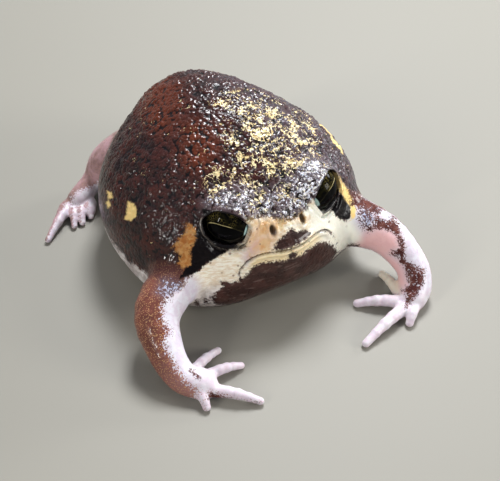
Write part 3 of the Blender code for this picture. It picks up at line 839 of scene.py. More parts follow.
def sampled_distance(distance_of, low, counts):
    """Distances on a grid, exact near the surface and rough away from it."""
    blocks = counts // BLOCK
    index = np.indices(blocks).reshape(3, -1).T
    size = BLOCK * PITCH
    middles = low + (index + 0.5) * size - 0.5 * PITCH
    rough = distance_of(middles)
    values = np.repeat(rough.reshape(blocks), BLOCK, axis=0)
    values = np.repeat(np.repeat(values, BLOCK, axis=1), BLOCK, axis=2)
    near = index[np.abs(rough) < NEAR_SURFACE] * BLOCK
    inner = np.indices((BLOCK, BLOCK, BLOCK)).reshape(3, -1).T
    places = (near[:, None, :] + inner[None, :, :]).reshape(-1, 3)
    values[tuple(places.T)] = distance_of(low + places * PITCH)
    return values


def surface_net(values, low):
    """Points and four-sided faces of the surface where grid values change sign."""
    inside = values < 0.0
    cells = np.array(values.shape) - 1
    numbers = np.full(cells.prod(), -1, dtype=np.int64)
    sums = np.zeros((cells.prod(), 3), dtype=np.float32)
    hits = np.zeros(cells.prod(), dtype=np.int32)
    strides = np.array((cells[1] * cells[2], cells[2], 1))
    faces = []
    for axis in range(3):
        second, third = (axis + 1) % 3, (axis + 2) % 3
        head = [slice(None)] * 3
        tail = [slice(None)] * 3
        head[axis], tail[axis] = slice(None, -1), slice(1, None)
        start, end = values[tuple(head)], values[tuple(tail)]
        edges = np.argwhere(inside[tuple(head)] != inside[tuple(tail)])
        within = np.all(edges > 0, axis=1) & np.all(edges < cells, axis=1)
        edges = edges[within]
        first = start[tuple(edges.T)]
        last = end[tuple(edges.T)]
        crossing = edges.astype(np.float64)
        crossing[:, axis] += first / (first - last)
        corners = []
        for back_second, back_third in ((1, 1), (0, 1), (0, 0), (1, 0)):
            cell = edges.copy()
            cell[:, second] -= back_second
            cell[:, third] -= back_third
            flat = cell @ strides
            for part in range(3):
                sums[:, part] += np.bincount(flat, crossing[:, part], minlength=len(hits))
            hits += np.bincount(flat, minlength=len(hits)).astype(np.int32)
            corners.append(flat)
        quads = np.stack(corners, axis=1)
        outward = first < 0.0
        faces.append(np.where(outward[:, None], quads, quads[:, ::-1]))
    used = np.flatnonzero(hits)
    numbers[used] = np.arange(len(used))
    points = low + sums[used] / hits[used, None] * PITCH
    return points, numbers[np.concatenate(faces)]


def add_object(name, data):
    item = bpy.data.objects.new(name, data)
    bpy.context.scene.collection.objects.link(item)
    return item


def mesh_object(name, points, faces):
    """A new object from points in frog millimetres and four-sided faces."""
    mesh = bpy.data.meshes.new(name)
    mesh.vertices.add(len(points))
    mesh.loops.add(faces.size)
    mesh.polygons.add(len(faces))
    mesh.loops.foreach_set("vertex_index", faces.astype(np.int32).ravel())
    mesh.polygons.foreach_set("loop_start", np.arange(0, faces.size, 4, dtype=np.int32))
    place_points(mesh, points)
    mesh.update(calc_edges=True)
    mesh.shade_smooth()
    return add_object(name, mesh)


def place_points(mesh, points):
    moved = ((points + FRAME_SHIFT) * MM).astype(np.float32)
    mesh.vertices.foreach_set("co", moved.ravel())
    mesh.update()


def vertex_values(values, field):
    """A place or direction for each vertex."""
    flat = np.empty(3 * len(values), dtype=np.float32)
    values.foreach_get(field, flat)
    return flat.reshape(-1, 3).astype(float)


def bake_modifiers(item):
    """Replaces an object's mesh with the one that its modifiers give."""
    graph = bpy.context.evaluated_depsgraph_get()
    baked = bpy.data.meshes.new_from_object(item.evaluated_get(graph))
    old = item.data
    item.modifiers.clear()
    item.data = baked
    bpy.data.meshes.remove(old)


def smooth_skin():
    """The frog's skin on its true surface, with where its points lie."""
    counts = np.ceil((SKIN_HIGH - SKIN_LOW) / PITCH / BLOCK).astype(int) * BLOCK
    values = sampled_distance(frog_distance, SKIN_LOW, counts)
    points, faces = surface_net(values, SKIN_LOW)
    skin = mesh_object("frog_skin", points, faces)
    split = skin.modifiers.new("finer", "SUBSURF")
    split.levels = SKIN_SPLITS
    split.render_levels = SKIN_SPLITS
    bake_modifiers(skin)
    points = vertex_values(skin.data.vertices, "co") / MM - FRAME_SHIFT
    gradient = slope(points, frog_distance)
    gradient /= np.maximum((gradient**2).sum(axis=1), LEAST_SLOPE)[:, None]
    for _ in range(SNAPS):
        step = np.clip(frog_distance(points), -LONGEST_SNAP, LONGEST_SNAP)
        points = points - step[:, None] * gradient
    return skin, points


def mesh_normals(mesh):
    return vertex_values(mesh.vertex_normals, "vector")


def lattice_random(cells, seed):
    """A number from 0 to 1 for each whole-numbered cell, the same on every run."""
    mixed = np.full(len(cells), seed * SEED_STEP + SEED_START, dtype=np.uint64)
    for column, prime in zip(cells.T, CELL_PRIMES):
        mixed = (mixed ^ column.astype(np.int64).astype(np.uint64)) * np.uint64(prime)
        mixed ^= mixed >> np.uint64(17)
        mixed &= np.uint64(LOW_32_BITS)
    mixed = (mixed * np.uint64(CELL_PRIMES[1])) & np.uint64(LOW_32_BITS)
    mixed ^= mixed >> np.uint64(13)
    return (mixed & np.uint64(LOW_24_BITS)).astype(float) / float(LOW_24_BITS + 1)


def soft_noise(points, spacing, seed):
    """Smooth random heights from -1 to 1, about one swell for each spacing."""
    scaled = points / spacing
    cell = np.floor(scaled)
    share = scaled - cell
    share = share * share * (3.0 - 2.0 * share)
    total = np.zeros(len(points))
    for corner in np.ndindex(2, 2, 2):
        weight = np.prod(np.where(np.array(corner), share, 1.0 - share), axis=1)
        total += weight * lattice_random(cell + corner, seed)
    return 2.0 * total - 1.0


def domes(points, spacing, seed, share=1.0):
    """Round bumps scattered one to a cell: 1 on their tops and 0 between them."""
    scaled = points / spacing
    cell = np.floor(scaled)
    height = np.zeros(len(points))
    for shift in np.ndindex(3, 3, 3):
        near = cell + np.array(shift) - 1.0
        centre = near + np.stack([lattice_random(near, seed + part) for part in range(3)], axis=1)
        radius = DOME_RADIUS + DOME_RADIUS_RANGE * lattice_random(near, seed + 3)
        gap = ((scaled - centre) ** 2).sum(axis=1) / radius**2
        top = DOME_HEIGHT + DOME_HEIGHT_RANGE * lattice_random(near, seed + 4)
        dome = np.clip(1.0 - gap, 0.0, 1.0) * top
        if share < 1.0:
            dome *= lattice_random(near, seed + 5) < share
        height = np.maximum(height, dome)
    return height


def camera_axes():
    """The camera's place and its own directions: ahead, right and up."""
    place = np.array(CAMERA_PLACE)
    ahead = unit(np.array(CAMERA_AIM) - place)
    right = unit(np.cross(ahead, (0.0, 0.0, 1.0)))
    return place, ahead, right, np.cross(right, ahead)


def photo_places(points):
    """Where points appear in the photograph, in its pixels."""
    place, ahead, right, up = camera_axes()
    offset = points - place
    scale = CAMERA_LENS / SENSOR * PHOTO_SIZE[0] / (offset @ ahead)
    return np.stack([
        0.5 * PHOTO_SIZE[0] + scale * (offset @ right),
        0.5 * PHOTO_SIZE[1] - scale * (offset @ up),
    ], axis=1)


def facing_camera(points, normals):
    """One where the skin faces the camera, falling to nought where it turns away."""
    toward = np.array(CAMERA_PLACE) - points
    toward /= np.linalg.norm(toward, axis=1)[:, None]
    return smooth_step(0.0, FACING_FADE, (normals * toward).sum(axis=1))


def marking_depth(places, outline):
    """Millimetres inside a marking's outline, and no less than -FAR_OUTSIDE."""
    outline = np.array(outline)
    margin = FAR_OUTSIDE * PIXELS_PER_MM
    low, high = outline.min(axis=0) - margin, outline.max(axis=0) + margin
    near = np.all((places > low) & (places < high), axis=1)
    depth = np.full(len(places), -FAR_OUTSIDE)
    inside = depth_in_outline(places[near], outline) / PIXELS_PER_MM
    depth[near] = np.maximum(inside, -FAR_OUTSIDE)
    return depth


def markings(points, normals):
    """How deep each point lies in every marking, with the far side like the near one."""
    flip = np.array((-1.0, 1.0, 1.0))
    views = []
    for sign in (1.0, flip):
        views.append((photo_places(points * sign), facing_camera(points * sign, normals * sign)))
    depths = {}
    for name, outline in MARKINGS.items():
        hidden = np.full(len(points), -FAR_OUTSIDE)
        if name not in ONE_SIDED:
            places, facing = views[1]
            hidden += (marking_depth(places, outline) + FAR_OUTSIDE) * facing
        places, facing = views[0]
        depths[name] = hidden + (marking_depth(places, outline) - hidden) * facing
    return depths


def deepest(depths, names):
    return np.maximum.reduce([depths[name] for name in names])


def spot_depth(points):
    """How far points lie inside the spots of the far flank."""
    depth = np.full(len(points), -FAR_OUTSIDE)
    for middle, size in FAR_FLANK_SPOTS:
        reach = np.linalg.norm((points - middle) / size, axis=1)
        depth = np.maximum(depth, (1.0 - reach) * min(size))
    return depth


def limb_shares(points):
    """How much of each point belongs to an arm, a leg, a wrist, and a hand or foot."""
    trunk = body_distance(points)
    shares = {kind: np.zeros(len(points)) for kind in ("arm", "leg", "hand", "wrist")}
    shares["shoulder"] = smooth_step(SHOULDER_REACH, 0.0, trunk)
    for name, (chain, digits) in LIMBS.items():
        joints = list(chain) + [joint for digit in digits for joint in digit]
        near = near_chain(points, joints, LIMB_MARGIN)
        limb = limb_distance(points[near], chain, digits)
        share = smooth_step(*LIMB_START, trunk[near] - limb)
        from_wrist = np.linalg.norm(points[near] - chain[-1][0], axis=1)
        palm = from_wrist - HAND_REACH
        for digit in digits:
            finger = chain_distance(points[near], digit, KNUCKLE_BLEND)
            palm = np.minimum(palm, finger - DIGIT_INSET)
        for kind, amount in (
            (name.split("_")[0], share),
            ("wrist", smooth_step(WRIST_REACH, 0.0, from_wrist) * share),
            ("hand", fade(palm, HAND_FADE) * share),
        ):
            shares[kind][near] = np.maximum(shares[kind][near], amount)
    return shares


def set_attributes(mesh, layers):
    """Stores shares or depths on a mesh's points, each under its name."""
    for name, values in layers.items():
        layer = mesh.attributes.new(name, "FLOAT", "POINT")
        layer.data.foreach_set("value", values.astype(np.float32))


def add_relief(skin, points, shares):
    """Raises the granules and warts of the back and returns where the skin's points then lie."""
    normals = mesh_normals(skin.data)
    limb = np.maximum(shares["arm"], shares["leg"])
    upward = smooth_step(*UPWARD, normals[:, 2])
    face = smooth_step(*FACE_Y, points[:, 1]) * smooth_step(*FACE_Z, points[:, 2])
    coarse = upward * (1.0 - limb) * (1.0 - face) * smooth_step(*BACK_Z, points[:, 2])
    fine = np.maximum(coarse, FINE_LEAST + FINE_UPWARD * upward - LIMB_SMOOTHNESS * limb)
    fine *= (1.0 - HAND_SMOOTHNESS * shares["hand"]) * (1.0 - FACE_SMOOTHNESS * face)
    at_mouth = hump(mouth_offset(points), MOUTH_SMOOTH_WIDTH)
    at_mouth *= fade(points[:, 1] - MOUTH_BACK_Y, MOUTH_FADE)
    rough = 1.0 - MOUTH_SMOOTHNESS * at_mouth
    for side in EYE_CENTRES:
        over_eye, inside, _ = lid_opening(points, side)
        at_lid = fade(np.abs(over_eye) - LID_SMOOTH_BAND, LID_SMOOTH_FADE)
        rough *= 1.0 - at_lid * smooth_step(*LID_SMOOTH_FROM, inside)
    lumps = soft_noise(points, LUMP_SPACING, SEEDS["lump"])
    lumps += 0.5 * soft_noise(points, SMALL_LUMP_SPACING, SEEDS["small_lump"])
    warts = domes(points + WART_WARP * lumps[:, None], WART_SPACING, SEEDS["wart"], WART_SHARE)
    grain = domes(points, GRAIN_SPACING, SEEDS["grain"])
    height = coarse * (LUMP_HEIGHT * lumps + WART_HEIGHT * warts)
    on_warts = 1.0 + WART_GRAIN * warts * coarse
    height += fine * GRAIN_HEIGHT * (grain - GRAIN_MIDDLE) * on_warts
    coarseness = np.clip(fine * rough, 0.0, 1.0)
    set_attributes(skin.data, {"grain": grain, "wart": warts * coarse, "coarse": coarseness})
    return points + (height * rough)[:, None] * normals


def belly_depth(points, trunk):
    """How far below the wavy edge of the pale belly the trunk's points lie."""
    front = smooth_step(*BELLY_FRONT_Y, points[:, 1])
    wave = soft_noise(points, BELLY_WAVE_SPACING, SEEDS["belly_wave"])
    wave += 0.5 * soft_noise(points, BELLY_RIPPLE_SPACING, SEEDS["belly_ripple"])
    depth = BELLY_EDGE_Z - points[:, 2] - BELLY_FRONT_DROP * front + BELLY_WAVE * wave
    return np.where(trunk > 0.5, depth, -FAR_OUTSIDE)


def inner_limb_depth(points, normals, shares):
    """How deep the limbs' points lie in their pale inner sides, hands and soles."""
    arm, leg, hand = shares["arm"], shares["leg"], shares["hand"]
    turned = normals.copy()
    turned[:, 0] *= np.sign(points[:, 0])
    depth = INNER_PALE * (turned @ INNER_SIDE - INNER_START) + HAND_PALE * hand
    depth += SOLE_PALE * leg * smooth_step(*SOLE_FACING, normals[:, 2]) - LEG_DARK * leg
    seen = facing_camera(points, normals)
    left_arm = arm * (points[:, 0] > 0.0)
    in_view = SEEN_LEFT_ARM_PALE * left_arm + SEEN_HAND_PALE * hand - SEEN_ARM_START
    in_view = depth * (1.0 - seen) + seen * in_view
    depth = np.where(arm > ON_LIMB, np.maximum(depth - SEEN_ARM_DARK * seen, in_view), depth)
    return np.where(np.maximum(arm, leg) > ON_LIMB, depth, -FAR_OUTSIDE)


def lid_lines(points):
    """Painted shade on the lids' inner wall, and the light line along their lower edge."""
    rims = np.zeros((2, len(points)))
    for side, strength in LID_LINE.items():
        over_eye, inside, flat = lid_opening(points, side)
        near = fade(np.abs(over_eye) - LID_BAND, LID_BAND_FADE)
        ahead = smooth_step(*LID_FRONT, flat[:, 0])
        shade = near * smooth_step(*LID_SHADE, inside) * (1.0 - LID_SHADE_FRONT_LOSS * ahead)
        line = near * hump(inside + LID_LINE_OFFSET, LID_LINE_WIDTH) * strength
        line *= smooth_step(*LID_LINE_TOP, flat[:, 1]) * (1.0 - LID_LINE_FRONT_LOSS * ahead)
        rise = smooth_step(*LID_LINE_BOTTOM, flat[:, 1])
        line *= LID_LINE_LEAST + (1.0 - LID_LINE_LEAST) * rise
        rims = np.maximum(rims, (shade, line))
    return rims


def paint_skin(mesh, points, shares):
    """Stores on the skin where its markings and tints lie."""
    normals = mesh_normals(mesh)
    depths = markings(points, normals)
    x, y, z = points.T
    arm, hand = shares["arm"], shares["hand"]
    limb = np.maximum(arm, shares["leg"])
    trunk = 1.0 - limb
    layers = {kind: deepest(depths, names) for kind, names in MARK_KINDS.items()}
    blue = layers["blue"]
    off_blue = np.where(blue > -FAR_OUTSIDE, -blue, FAR_OUTSIDE)
    inner = inner_limb_depth(points, normals, shares)
    # The limbs' pale inner skin, with the painted highlight on the left arm's tip
    layers["limb_pale"] = np.minimum(np.maximum(inner, layers["limb_pale"]), off_blue)
    layers["belly"] = np.minimum(belly_depth(points, trunk), FAR_OUTSIDE)
    layers["yellow"] = np.maximum(layers["yellow"], spot_depth(points))
    layers["pale"] = np.minimum(layers["pale"], FAR_OUTSIDE)
    layers["rust"] = smooth_step(*RUST_FADE, layers["rust"])
    layers["blue"] = smooth_step(*BLUE_FADE, blue)
    for name, (marking, start, full) in TINTS.items():
        layers[name] = smooth_step(start, full, depths[marking])
    layers["silver"] += LEFT_BROW_SILVER_AND_GLINT * layers.pop("left_brow")
    layers["thumb"] *= hand
    layers["blush"] = np.maximum(hand * HAND_BLUSH, layers.pop("inner_arm"))
    # The frog's left side: its back takes a plum and slate tone, partly the skin's own and partly painted
    # sheen
    layers["left_side"] = smooth_step(*LEFT_SIDE_X, x) * trunk
    # Near-white painted light on the left cheek and on the left side's pale skin
    side_painted_light = LEFT_SIDE_PAINTED_LIGHT * layers["left_side"]
    layers["cheek_painted_light"] = np.maximum(side_painted_light, layers.pop("left_cheek"))
    layers["shoulder"] = shares["shoulder"] * arm
    layers["wrist"] = shares["wrist"]
    layers["leg"] = shares["leg"]
    layers["limb"] = limb
    layers["low"] = smooth_step(*LOW_Z, z) * trunk
    # Near-black painted shade inside the lids' opening, and the light line of the lower lids
    layers["lid_shade"], layers["lid_edge"] = lid_lines(points)
    # A dark line painted along the mouth's groove: painted shade
    line = hump(mouth_offset(points), MOUTH_LINE_WIDTH) * fade(y - MOUTH_BACK_Y, MOUTH_FADE)
    past_corner = np.abs(x) - MOUTH_HALF_WIDTH - MOUTH_LINE_OVERRUN
    layers["mouth_line"] = line * fade(past_corner, MOUTH_LINE_FADE)
    # Painted shade in the nostril pits
    gap = np.linalg.norm((to_left_side(points) - NOSTRIL_PLACE) / NOSTRIL_SHADE, axis=1)
    layers["hollow_shade"] = fade(gap - 1.0, NOSTRIL_SHADE_FADE)
    set_attributes(mesh, layers)


# How the shared effects are shaped
TEAR_REACH = 3.0
CLUMP_SCALE = 0.22
FLECK_EDGE = (-0.34, 0.8)
FLECK_SOFTNESS = (-0.025, 0.035)
DOT_SOFTNESS = (0.22, 0.4)
CLOUD_SOFTNESS = (0.36, 0.64)


def linear(red, green, blue):
    """A colour as it looks on screen, from 0 to 255, turned into light."""
    shares = np.array((red, green, blue)) / 255.0
    light = np.where(shares <= 0.04045, shares / 12.92, ((shares + 0.055) / 1.055) ** 2.4)
    return (*light.tolist(), 1.0)


class Graph:
    """Adds nodes to a node tree. An input is a number, a colour, another node's output,
    or the name of a share that is stored on the mesh."""

    def __init__(self, tree):
        self.tree = tree

    def add(self, kind, *inputs, output=0, **settings):
        node = self.tree.nodes.new(kind)
        for name, value in settings.items():
            setattr(node, name, value)
        for place, value in enumerate(inputs):
            self.feed(value, node.inputs[place])
        return node.outputs[output]

    def feed(self, value, socket):
        if isinstance(value, str):
            stored = self.tree.nodes.new("ShaderNodeAttribute")
            stored.attribute_name = value
            value = stored.outputs["Fac"]
        if isinstance(value, bpy.types.NodeSocket):
            self.tree.links.new(value, socket)
        else:
            socket.default_value = value

    def math(self, operation, *inputs, clamp=False):
        return self.add("ShaderNodeMath", *inputs, operation=operation, use_clamp=clamp)

    def times(self, first, *others):
        for other in others:
            first = self.math("MULTIPLY", first, other)
        return first

    def line(self, value, slope, start):
        """The value times a slope, from a starting value."""
        return self.math("MULTIPLY_ADD", value, slope, start)

    def rest(self, value):
        """What is left of one when the value is taken from it."""
        return self.math("SUBTRACT", 1.0, value)

    def ramp(self, value, low, high):
        """Nought at low and one at high, with soft ends."""
        return self.add("ShaderNodeMapRange", value, low, high, 0.0, 1.0, interpolation_type="SMOOTHSTEP")

    def mix(self, share, first, second):
        node = self.tree.nodes.new("ShaderNodeMix")
        node.data_type = "RGBA"
        self.feed(share, node.inputs["Factor"])
        self.feed(first, node.inputs[6])
        self.feed(second, node.inputs[7])
        return node.outputs[2]

    def coats(self, colour, *layers):
        """Lays more colours over one, each by its own share."""
        for share, coat in layers:
            colour = self.mix(share, colour, coat)
        return colour

    def noise(self, place, scale, detail=2.0, roughness=0.5, distortion=0.0):
        node = self.tree.nodes.new("ShaderNodeTexNoise")
        self.feed(place, node.inputs["Vector"])
        self.feed(scale, node.inputs["Scale"])
        node.inputs["Detail"].default_value = detail
        node.inputs["Roughness"].default_value = roughness
        node.inputs["Distortion"].default_value = distortion
        return node.outputs["Fac"]

    def cells(self, place, scale, output="Distance", feature="F1"):
        node = self.tree.nodes.new("ShaderNodeTexVoronoi")
        node.feature = feature
        self.feed(place, node.inputs["Vector"])
        self.feed(scale, node.inputs["Scale"])
        return node.outputs[output]

    def stretched(self, place, scales):
        return self.add("ShaderNodeVectorMath", place, scales, operation="MULTIPLY")

    def millimetres(self):
        """The place on the object, in millimetres."""
        place = self.tree.nodes.new("ShaderNodeTexCoord").outputs["Object"]
        return self.stretched(place, (1.0 / MM, 1.0 / MM, 1.0 / MM))

    def group(self, tree, **inputs):
        node = self.tree.nodes.new("ShaderNodeGroup")
        node.node_tree = tree
        for name, value in inputs.items():
            self.feed(value, node.inputs[name])
        return node.outputs[0]


def new_group(name, inputs, output):
    """An empty node group with named sockets, its graph, and its inputs by name."""
    tree = bpy.data.node_groups.new(name, "ShaderNodeTree")
    for label, kind, value in inputs:
        socket = tree.interface.new_socket(label, in_out="INPUT", socket_type="NodeSocket" + kind)
        if value is not None:
            socket.default_value = value
    tree.interface.new_socket(output[0], in_out="OUTPUT", socket_type="NodeSocket" + output[1])
    source = tree.nodes.new("NodeGroupInput")
    tree.nodes.new("NodeGroupOutput")
    return tree, Graph(tree), [source.outputs[label] for label, _, _ in inputs]


def finish_group(tree, result):
    sink = next(node for node in tree.nodes if node.bl_idname == "NodeGroupOutput")
    tree.links.new(result, sink.inputs[0])
    return tree


def ragged_edge_group():
    """Turns depth inside a marking into a mask with a torn edge."""
    tree, graph, (place, depth, tear, grain, softness) = new_group("ragged_edge", (
        ("Place", "Vector", None), ("Depth", "Float", 0.0), ("Tear", "Float", 0.8),
        ("Grain", "Float", 1.2), ("Softness", "Float", 0.12),
    ), ("Mask", "Float"))
    broad = graph.noise(place, grain, detail=4.0, roughness=0.72, distortion=0.3)
    torn = graph.times(graph.math("SUBTRACT", broad, 0.5), tear)
    edge = graph.line(torn, TEAR_REACH, depth)
    return finish_group(tree, graph.ramp(edge, graph.times(softness, -1.0), softness))


def fleck_group():
    """Scattered angular flecks that run together as their share grows."""
    tree, graph, (place, share, fineness, clumping) = new_group("fleck_field", (
        ("Place", "Vector", None), ("Share", "Float", 0.4), ("Fineness", "Float", 1.6),
        ("Clumping", "Float", 0.6),
    ), ("Mask", "Float"))
    clump_scale = graph.times(fineness, CLUMP_SCALE)
    broad = graph.noise(place, clump_scale, detail=1.0, roughness=0.5, distortion=0.4)
    fine = graph.noise(place, fineness, detail=2.0, roughness=0.6, distortion=0.9)
    mixed = graph.line(graph.math("SUBTRACT", broad, 0.5), clumping, fine)
    edge = graph.line(share, *FLECK_EDGE)
    return finish_group(tree, graph.ramp(graph.math("SUBTRACT", mixed, edge), *FLECK_SOFTNESS))


def dot_group():
    """Tiny dots, one to a cell, in a share of the cells."""
    tree, graph, (place, share, fineness) = new_group("gold_dots", (
        ("Place", "Vector", None), ("Share", "Float", 0.6), ("Fineness", "Float", 2.6),
    ), ("Mask", "Float"))
    round_dot = graph.rest(graph.ramp(graph.cells(place, fineness), *DOT_SOFTNESS))
    chance = graph.add("ShaderNodeSeparateColor", graph.cells(place, fineness, "Color"))
    return finish_group(tree, graph.times(round_dot, graph.math("LESS_THAN", chance, share)))


def mottle_group():
    """Two colours in soft clouds."""
    tree, graph, (place, first, second, fineness, lean) = new_group("mottle", (
        ("Place", "Vector", None), ("First", "Color", None), ("Second", "Color", None),
        ("Fineness", "Float", 0.3), ("Lean", "Float", 0.0),
    ), ("Color", "Color"))
    cloud = graph.noise(place, fineness, detail=4.0, roughness=0.6, distortion=0.5)
    share = graph.ramp(graph.math("ADD", cloud, lean), *CLOUD_SOFTNESS)
    return finish_group(tree, graph.mix(share, first, second))


# Colours as they look on screen
SKIN = {name: linear(*shade) for name, shade in {
    "maroon": (60, 29, 26), "black_brown": (32, 19, 20), "plum": (60, 45, 48),
    # The last colour here is near-black painted shade for the hollows between granules
    "slate": (84, 76, 86), "rust": (108, 48, 24), "pit": (14, 8, 10),
    "arm_red": (126, 76, 64), "arm_brown": (104, 62, 54), "arm_pink": (186, 138, 132),
    "arm_plum": (62, 40, 42), "leg_grey": (138, 108, 104), "leg_pink": (176, 140, 144),
    "gold_dot": (204, 158, 112), "silver_blue": (176, 180, 202),
    # The last colour here is partly the brow's pale tubercles and partly painted glints
    "cream": (242, 226, 180), "gold": (228, 202, 146), "silver": (230, 232, 244),
    "brow_grey": (112, 104, 110), "belly_white": (226, 218, 214), "belly_grey": (170, 158, 154),
    # The last colour here is near-white painted light for the left cheek and left side
    "cream_skin": (248, 242, 226), "beige_skin": (228, 208, 178), "cheek_painted_light": (255, 252, 236),
    "white_skin": (212, 209, 216), "pink_skin": (204, 192, 204), "thumb_cream": (240, 230, 198),
    "blush": (236, 188, 186), "lilac": (206, 176, 178), "nose_flush": (216, 164, 122),
    "patch": (168, 104, 48), "patch_light": (192, 142, 84), "ochre": (210, 158, 86),
    "straw": (226, 206, 156), "lip_gold": (242, 212, 142), "spot_yellow": (240, 206, 134),
    "freckle": (112, 80, 64), "throat": (70, 45, 40), "throat_dark": (48, 29, 26),
    # The last colour here serves the black markings and also the painted shade in the lids and at the
    # eye's rear corner
    "throat_line": (122, 100, 94), "marbling": (72, 36, 34), "near_black": (12, 6, 8),
    # The last colour here is dark painted shade for the nostril pits and the mouth's groove
    "lid": (176, 164, 152), "hollow_shade": (50, 22, 18),
}.items()}
EYE = {name: linear(*shade) for name, shade in {
    "black": (3, 3, 4), "olive": (26, 24, 9), "vein": (126, 112, 58),
    "ring": (196, 180, 128), "corner": (178, 210, 206),
}.items()}

# How the edge of each marking tears: how far, how finely, and how softly it ends
EDGES = {
    "belly": (1.6, 1.1, 0.9),
    "pale": (0.8, 1.7, 0.22),
    "limb_pale": (0.9, 2.2, 0.3),
    "patch": (0.8, 2.2, 0.35),
    "ochre": (0.9, 1.2, 0.9),
    "yellow": (0.3, 1.3, 0.2),
    "dark": (0.7, 2.6, 0.22),
    "black": (0.4, 1.6, 0.15),
    "marbling": (1.0, 3.0, 0.15),
}
# How strong a tint is where its share is full
STRENGTHS = {
    "left_side": 0.75, "wart": 0.06, "wrist": 0.7, "shoulder": 0.85, "blue": 0.6, "low": 0.85,
    "nose_flush": 0.55, "lip_gold": 0.5, "mouth_line": 0.85,
}
BLUE_FLECKS = 0.8
RUST_STRENGTH = 0.6
RUST_CLOUDS = 0.1
GOLD_DOTS = 0.85
GOLD_DOT_LEG_LOSS = -0.6
GOLD_DOT_SHOULDER_LOSS = -0.7
CREAM_FLECKS = 0.66
CREAM_BROW_LOSS = -0.35
STRAY_FLECKS = (0.05, 0.02)
SILVER_AND_GLINT_FLECKS = 0.64
BROW_GREY = 0.5
SPECKLE = (1.9, -0.8)
FRECKLES = 0.7
THROAT_LINES = 0.4
MARBLING_LOSS = -0.8
LID_SHADE_YELLOW_LOSS = -0.7
# Granule heights over which the painted shade of the hollows fades out
PIT_SHADE_GRAIN = (0.35, 0.0)
RAISED_GRAIN = (0.1, 0.4)
MIDDLE_NOISE = (0.3, 0.7)
SKIN_ROUGHNESS = (0.24, 0.42)
CRUMB_HEIGHT = 0.4
PEBBLE_HEIGHT = -0.8
BUMP_COARSENESS = (0.8, 0.2)
BUMP_DEPTH = 0.13 * MM
COAT_COARSENESS = (0.14, 0.32)
COAT_LIMB_LOSS = -0.2
COAT_BLACK_LOSS = -0.65

# The pupil's middle and half sizes in millimetres, and the ring's bounds in pupil sizes
PUPIL_AHEAD = 0.43
PUPIL_BELOW = 0.35
PUPIL_HALF_WIDTH = 2.65
PUPIL_HALF_HEIGHT = 1.22
PUPIL_WAVE = 0.12
PUPIL_EDGE = (0.97, 1.03)
RING_EDGE = (1.035, 1.09)
RING_TOP = (0.0, 0.4)
RING_FRONT = (1.1, 1.7)
RING_STRENGTH = (0.85, 0.03)
IRIS_TOP = (-0.6, 1.4)
VEIN_EDGE = (0.08, 0.17)
VEIN_WAVE = 0.16
VEIN_PATCHES = (0.42, 0.6)
VEIN_FRONT = (2.4, 0.6)
VEIN_REAR = (-0.8, -1.8)
VEIN_STRENGTH = 0.75
CORNER_FRONT = (3.12, 3.2)
CORNER_HEIGHT = (-0.9, -0.3)
CORNER_STRENGTH = 0.9
EYE_ROUGHNESS = (0.04, 0.08)


def new_material(name, settings):
    """A material with its shader's plain settings, the shader and its graph."""
    material = bpy.data.materials.new(name)
    material.use_nodes = True
    shader = material.node_tree.nodes["Principled BSDF"]
    for label, value in settings.items():
        shader.inputs[label].default_value = value
    return material, shader, Graph(material.node_tree)


